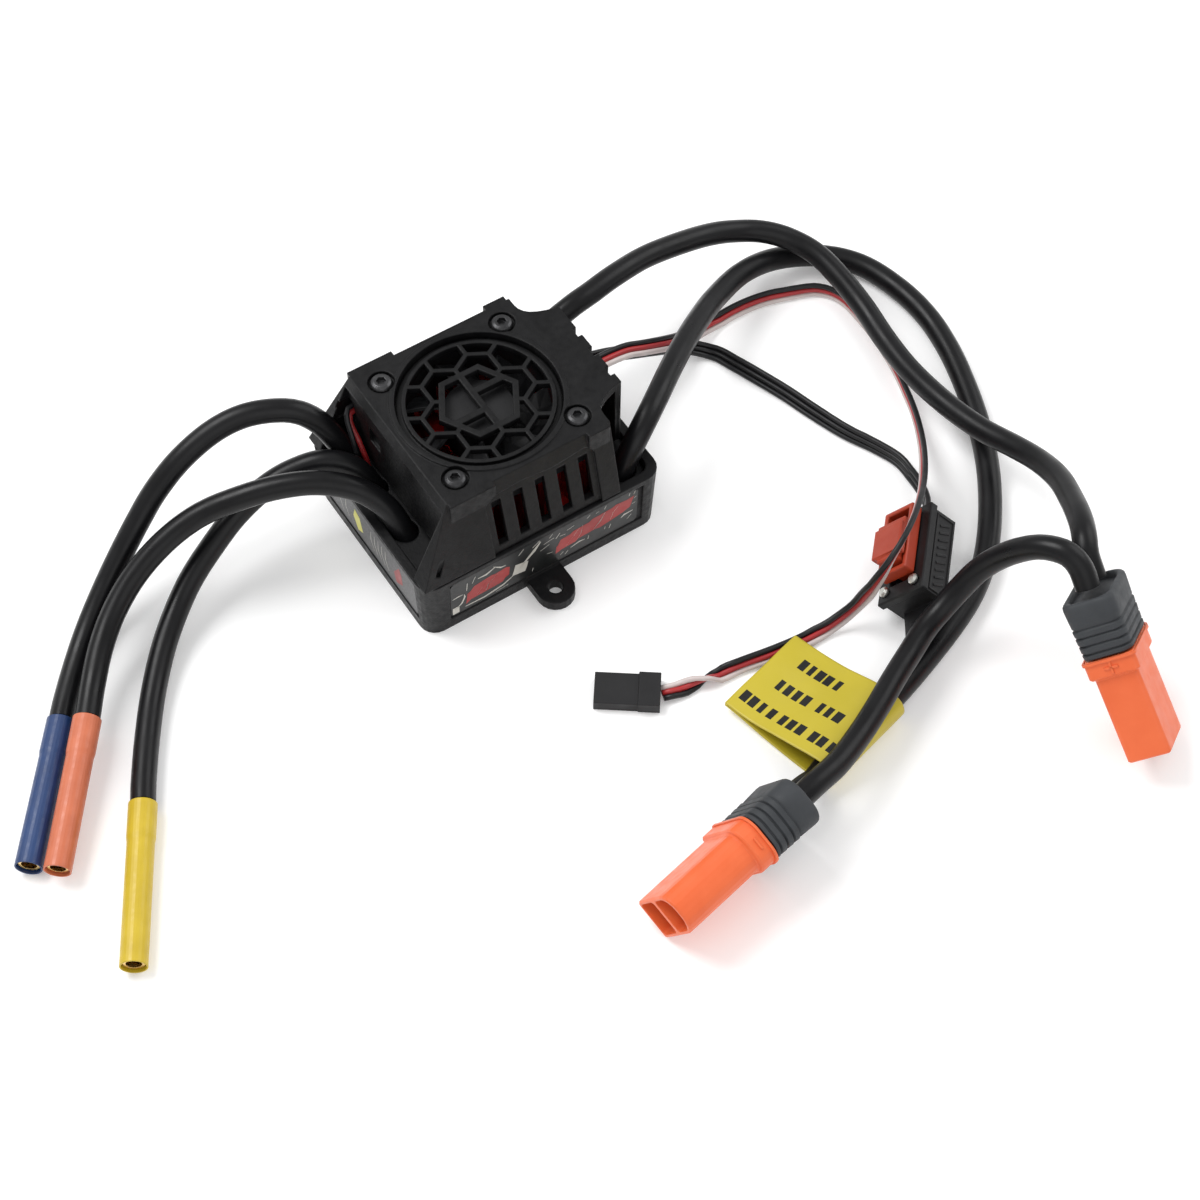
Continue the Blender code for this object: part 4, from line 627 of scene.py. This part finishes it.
def add_labels():
    front = label_plate("front_label_visual", 23.3 * MM, 3.4 * MM, 15.3 * MM, front_place,
                        MATERIALS["label_film"])
    end = label_plate("end_label_visual", 19.4 * MM, 3.4 * MM, 15.3 * MM, end_place, GREY_PRINT)
    for piece, old in ((front, "front_label"), (end, "end_label")):
        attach(piece, BODY)
        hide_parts(old)
    blocks = [[(-19.6, 5.6), (-18.4, 6.4), (-10.6, 6.8), (-10.0, 7.8), (-9.0, 8.3), (-8.8, 11.0),
               (-9.6, 11.6), (-12.4, 11.2), (-13.2, 11.5), (-17.6, 10.8), (-18.4, 9.6),
               (-19.2, 9.2)],
              [(2.6, 6.6), (4.2, 7.2), (7.6, 7.4), (8.4, 8.0), (12.8, 8.2), (13.6, 7.8),
               (19.6, 9.0), (21.4, 9.8), (21.8, 11.4), (22.4, 13.2), (20.4, 12.9), (17.8, 13.3),
               (16.6, 12.8), (11.8, 12.6), (11.0, 12.0), (7.0, 11.8), (6.2, 11.2), (3.8, 11.0),
               (3.2, 9.4), (2.8, 9.0)]]
    blocks = [[(u * MM, z * MM) for u, z in block] for block in blocks]
    add_print("front_label_red", blocks, front_place, RED_PRINT)
    marks = [
        ([(-22.9, 9.7), (-21.4, 9.9), (-20.3, 9.8)], 0.36),
        ([(-22.3, 5.4), (-20.6, 6.8), (-19.9, 8.6), (-20.0, 9.6)], 0.42),
        ([(-19.4, 10.6), (-19.2, 13.2)], 0.4), ([(-18.0, 12.2), (-17.2, 14.2)], 0.34),
        ([(-19.8, 4.8), (-15.0, 4.6), (-10.4, 5.5), (-8.0, 6.9)], 0.5),
        ([(-16.6, 12.9), (-14.6, 12.8), (-12.2, 13.9)], 0.6),
        ([(-12.8, 14.2), (-11.0, 12.6), (-9.8, 12.4)], 0.42),
        ([(-12.2, 4.2), (-9.2, 4.6)], 0.34), ([(-6.6, 13.4), (-5.4, 14.9)], 0.36),
        ([(-6.4, 8.4), (-2.8, 12.2), (-1.2, 14.4)], 0.85),
        ([(-3.2, 13.6), (-1.4, 14.9)], 0.5), ([(-3.2, 4.6), (-3.0, 5.8)], 0.4),
        ([(-1.2, 10.8), (1.0, 11.6)], 0.36), ([(-0.4, 12.6), (2.2, 13.2)], 0.34),
        ([(0.4, 8.4), (1.8, 8.0)], 0.34), ([(1.0, 13.9), (1.8, 14.9)], 0.3),
        ([(2.6, 12.4), (3.6, 13.8)], 0.45), ([(3.6, 12.6), (5.0, 12.3)], 0.34),
        ([(5.4, 13.4), (7.2, 13.8)], 0.34), ([(3.8, 5.2), (4.6, 5.9)], 0.36),
        ([(5.0, 4.5), (5.8, 5.5)], 0.36), ([(6.4, 6.0), (8.6, 6.6), (10.0, 6.4)], 0.4),
        ([(10.8, 5.8), (11.0, 6.9)], 0.42), ([(10.4, 13.9), (11.2, 14.6)], 0.34),
        ([(12.6, 14.0), (13.4, 14.2)], 0.36), ([(14.8, 13.9), (15.2, 14.9)], 0.42),
        ([(15.0, 6.2), (15.2, 7.0)], 0.34), ([(16.2, 5.6), (16.6, 7.0)], 0.4),
        ([(19.2, 7.2), (20.0, 7.8), (22.2, 7.9)], 0.5), ([(20.8, 5.6), (21.9, 6.6)], 0.34),
        ([(21.9, 10.4), (22.7, 10.6)], 0.34), ([(22.4, 12.2), (22.9, 12.6)], 0.34),
        ([(21.0, 14.0), (21.2, 14.9)], 0.42), ([(22.2, 13.8), (22.6, 14.8)], 0.34),
        ([(5.2, 7.4), (6.6, 9.2), (8.6, 11.9)], 0.16), ([(7.8, 7.6), (9.0, 9.6), (9.4, 12.2)],
         0.16), ([(12.0, 8.3), (13.8, 10.2), (15.0, 12.6)], 0.3),
        ([(16.4, 8.6), (17.0, 10.8), (18.8, 13.0)], 0.16),
        ([(-17.4, 6.6), (-15.6, 8.6), (-13.8, 11.2)], 0.16),
        ([(-14.8, 6.8), (-14.0, 8.8), (-11.8, 11.0)], 0.3),
    ]
    shapes = [stroke(points, width) for points, width in marks]
    tilted = [(-8.2, 6.9), (-5.0, 6.3), (-4.6, 7.6), (-4.2, 9.6), (-7.4, 10.4), (-7.8, 8.6)]
    shapes.append([(u * MM, z * MM) for u, z in tilted])
    corner = [(-22.9, 3.9), (-21.3, 3.9), (-21.3, 6.2), (-22.9, 6.2)]
    shapes.append([(u * MM, z * MM) for u, z in corner])
    add_print("front_label_pale", shapes, front_place, PALE_PRINT)
    diamond = [[(-13.6, 7.6), (-10.8, 5.4), (-10.2, 8.8), (-12.9, 13.2), (-13.6, 11.0)]]
    add_print("end_label_red", [[(u * MM, z * MM) for u, z in s] for s in diamond], end_place,
              RED_PRINT)
    blade = [[(3.0, 7.0), (5.2, 5.6), (6.6, 9.6), (5.4, 13.0), (3.6, 11.8)]]
    add_print("end_label_yellow", [[(u * MM, z * MM) for u, z in s] for s in blade], end_place,
              YELLOW_PRINT)
    lines = []
    for i in range(7):
        u = -7.6 + i * 1.5 if i < 5 else 9 + (i - 5) * 2.4
        lines.append(stroke([(u, 5.6 + 0.4 * (i % 3)), (u + 0.9, 9.0), (u + 0.4, 12.6)], 0.26))
    add_print("end_label_pale", lines, end_place, PALE_PRINT)


# --- tag ---------------------------------------------------------------------

def tag_print(x, y):
    """1 inside the tag's three rows of plain dark bars, which stand in for its print."""
    for middle, marks in ((-7.2, [(-0.6, 5.8), (7.4, 13.4), (15.0, 23.6)]),
                          (-0.4, [(3.2, 9.6), (11.4, 20.4)]),
                          (6.4, [(8.6, 20.0)])):
        if abs(y / MM - middle) < 1.5:
            for start, end in marks:
                if start < x / MM < end:
                    return 1 if (x / MM - start) % 2.3 < 1.55 else 0
    return 0


def add_tag():
    """The film loop round the front battery lead, with one soft fold and a slight curl."""
    path = [(24.8, 2.0), (21, 1.8), (15, 1.0), (8, 0.4), (2, 0.3), (-1.8, 0.6), (-3.6, 2.2),
            (-4.1, 4.4), (-3.1, 6.7), (-0.6, 7.7), (3, 7.2), (7, 6), (12, 4.5), (18, 3.2),
            (24.8, 2.7)]
    flat = smooth_route([(x, 0.0, z) for x, z in path], 0.45 * MM)
    flap = Vector((-0.25, 0.97, 0)).normalized()
    along = Vector((0.97, 0.25, 0)).normalized()
    turn = Matrix((flap, along, Vector((0, 0, 1)))).transposed().to_4x4()
    placement = Matrix.Translation(Vector((30.3, -92.9, 0)) * MM) @ turn
    bm = bmesh.new()
    columns = 50
    rows = []
    for p in flat:
        row = []
        for j in range(columns + 1):
            y = -TAG_WIDTH / 2 * MM + TAG_WIDTH * MM * j / columns
            upper = min(1.0, max(0.0, (p.x - 3 * MM) / (8 * MM))) if p.z > 2.2 * MM else 0.0
            wave = math.sin(p.x * 330 + y * 150) + 0.6 * math.sin(p.x * 160 - y * 420 + 1.0)
            row.append(bm.verts.new((p.x, y, p.z + 0.16 * MM * wave * upper)))
        rows.append(row)
    for i, (a, b) in enumerate(zip(rows, rows[1:])):
        for j in range(columns):
            face = bm.faces.new((a[j], a[j + 1], b[j + 1], b[j]))
            center = flat[i] + (flat[i + 1] - flat[i]) / 2
            y = (-TAG_WIDTH / 2 + TAG_WIDTH * (j + 0.5) / columns) * MM
            if center.z > 2.2 * MM and center.x > -1 * MM:
                face.material_index = tag_print(center.x, y)
    tag = mesh_object("warning_tag_visual", bm, MATERIALS["yellow_tag_film"], TAG_PRINT)
    tag.matrix_world = placement
    thick = tag.modifiers.new("film", "SOLIDIFY")
    thick.thickness = 0.22 * MM
    thick.offset = 0.0
    smooth(tag, 60)
    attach(tag, BODY)
    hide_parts("warning_tag")


# --- switch ------------------------------------------------------------------

def switch_placement():
    along = Vector((-0.68, -0.73, 0)).normalized()
    side = Vector((0.73, -0.68, 0)).normalized()
    lean = math.radians(50)
    across = side * math.cos(lean) + Vector((0, 0, 1)) * math.sin(lean)
    face = along.cross(across)
    turn = Matrix((along, across, face)).transposed().to_4x4()
    return Matrix.Translation(Vector(SWITCH_ORIGIN) * MM) @ turn


def add_switch_details():
    """A raised border and slanted bars along the switch's long sides, and ear hatching."""
    bm = bmesh.new()
    boxes = []
    for side in (-1, 1):
        y = side * 5.82
        boxes += [((0, y, -2.75), (19.4, 0.36, 0.35), 0), ((0, y, -7.5), (19.4, 0.36, 0.35), 0),
                  ((-9.6, y, -5.1), (0.35, 0.36, 4.8), 0), ((9.6, y, -5.1), (0.35, 0.36, 4.8), 0)]
        boxes += [((-7.6 + 1.9 * i, y, -5.1), (0.55, 0.3, 2.9), 24) for i in range(9)]
    boxes += [((13.4 + 0.9 * i, 0, -5.95), (0.3, 3.6 if i < 3 else 1.2, 0.18), 0)
              for i in range(3)]
    for place, size, slant in boxes:
        made = bmesh.ops.create_cube(bm, size=1.0)
        bmesh.ops.scale(bm, vec=[v * MM for v in size], verts=made["verts"])
        bmesh.ops.rotate(bm, matrix=Matrix.Rotation(math.radians(slant), 3, "Y"),
                         verts=made["verts"])
        bmesh.ops.translate(bm, vec=[v * MM for v in place], verts=made["verts"])
    ribs = mesh_object("switch_ribs", bm, MATERIALS["switch_plastic"])
    ribs.matrix_world = switch_placement()
    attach(ribs, BODY)


# --- assembly ----------------------------------------------------------------

add_camera()
add_leads()
paint_nodes()
add_studio()
RAISED = connector_frame((80.3, -128.4, 5.4), (-0.01, -0.755, -0.655), (0.72, 0.44, -0.53))
FLAT = connector_frame((-26.6, -108.6, 9.9), (-0.98, -0.2, -0.03), (0.07, -0.47, 0.88))
for plug, plug_place in (("raised_plug", RAISED), ("flat_plug", FLAT)):
    add_boot(plug, plug_place)
    add_signs(plug, plug_place)
add_labels()
add_tag()
add_switch_details()
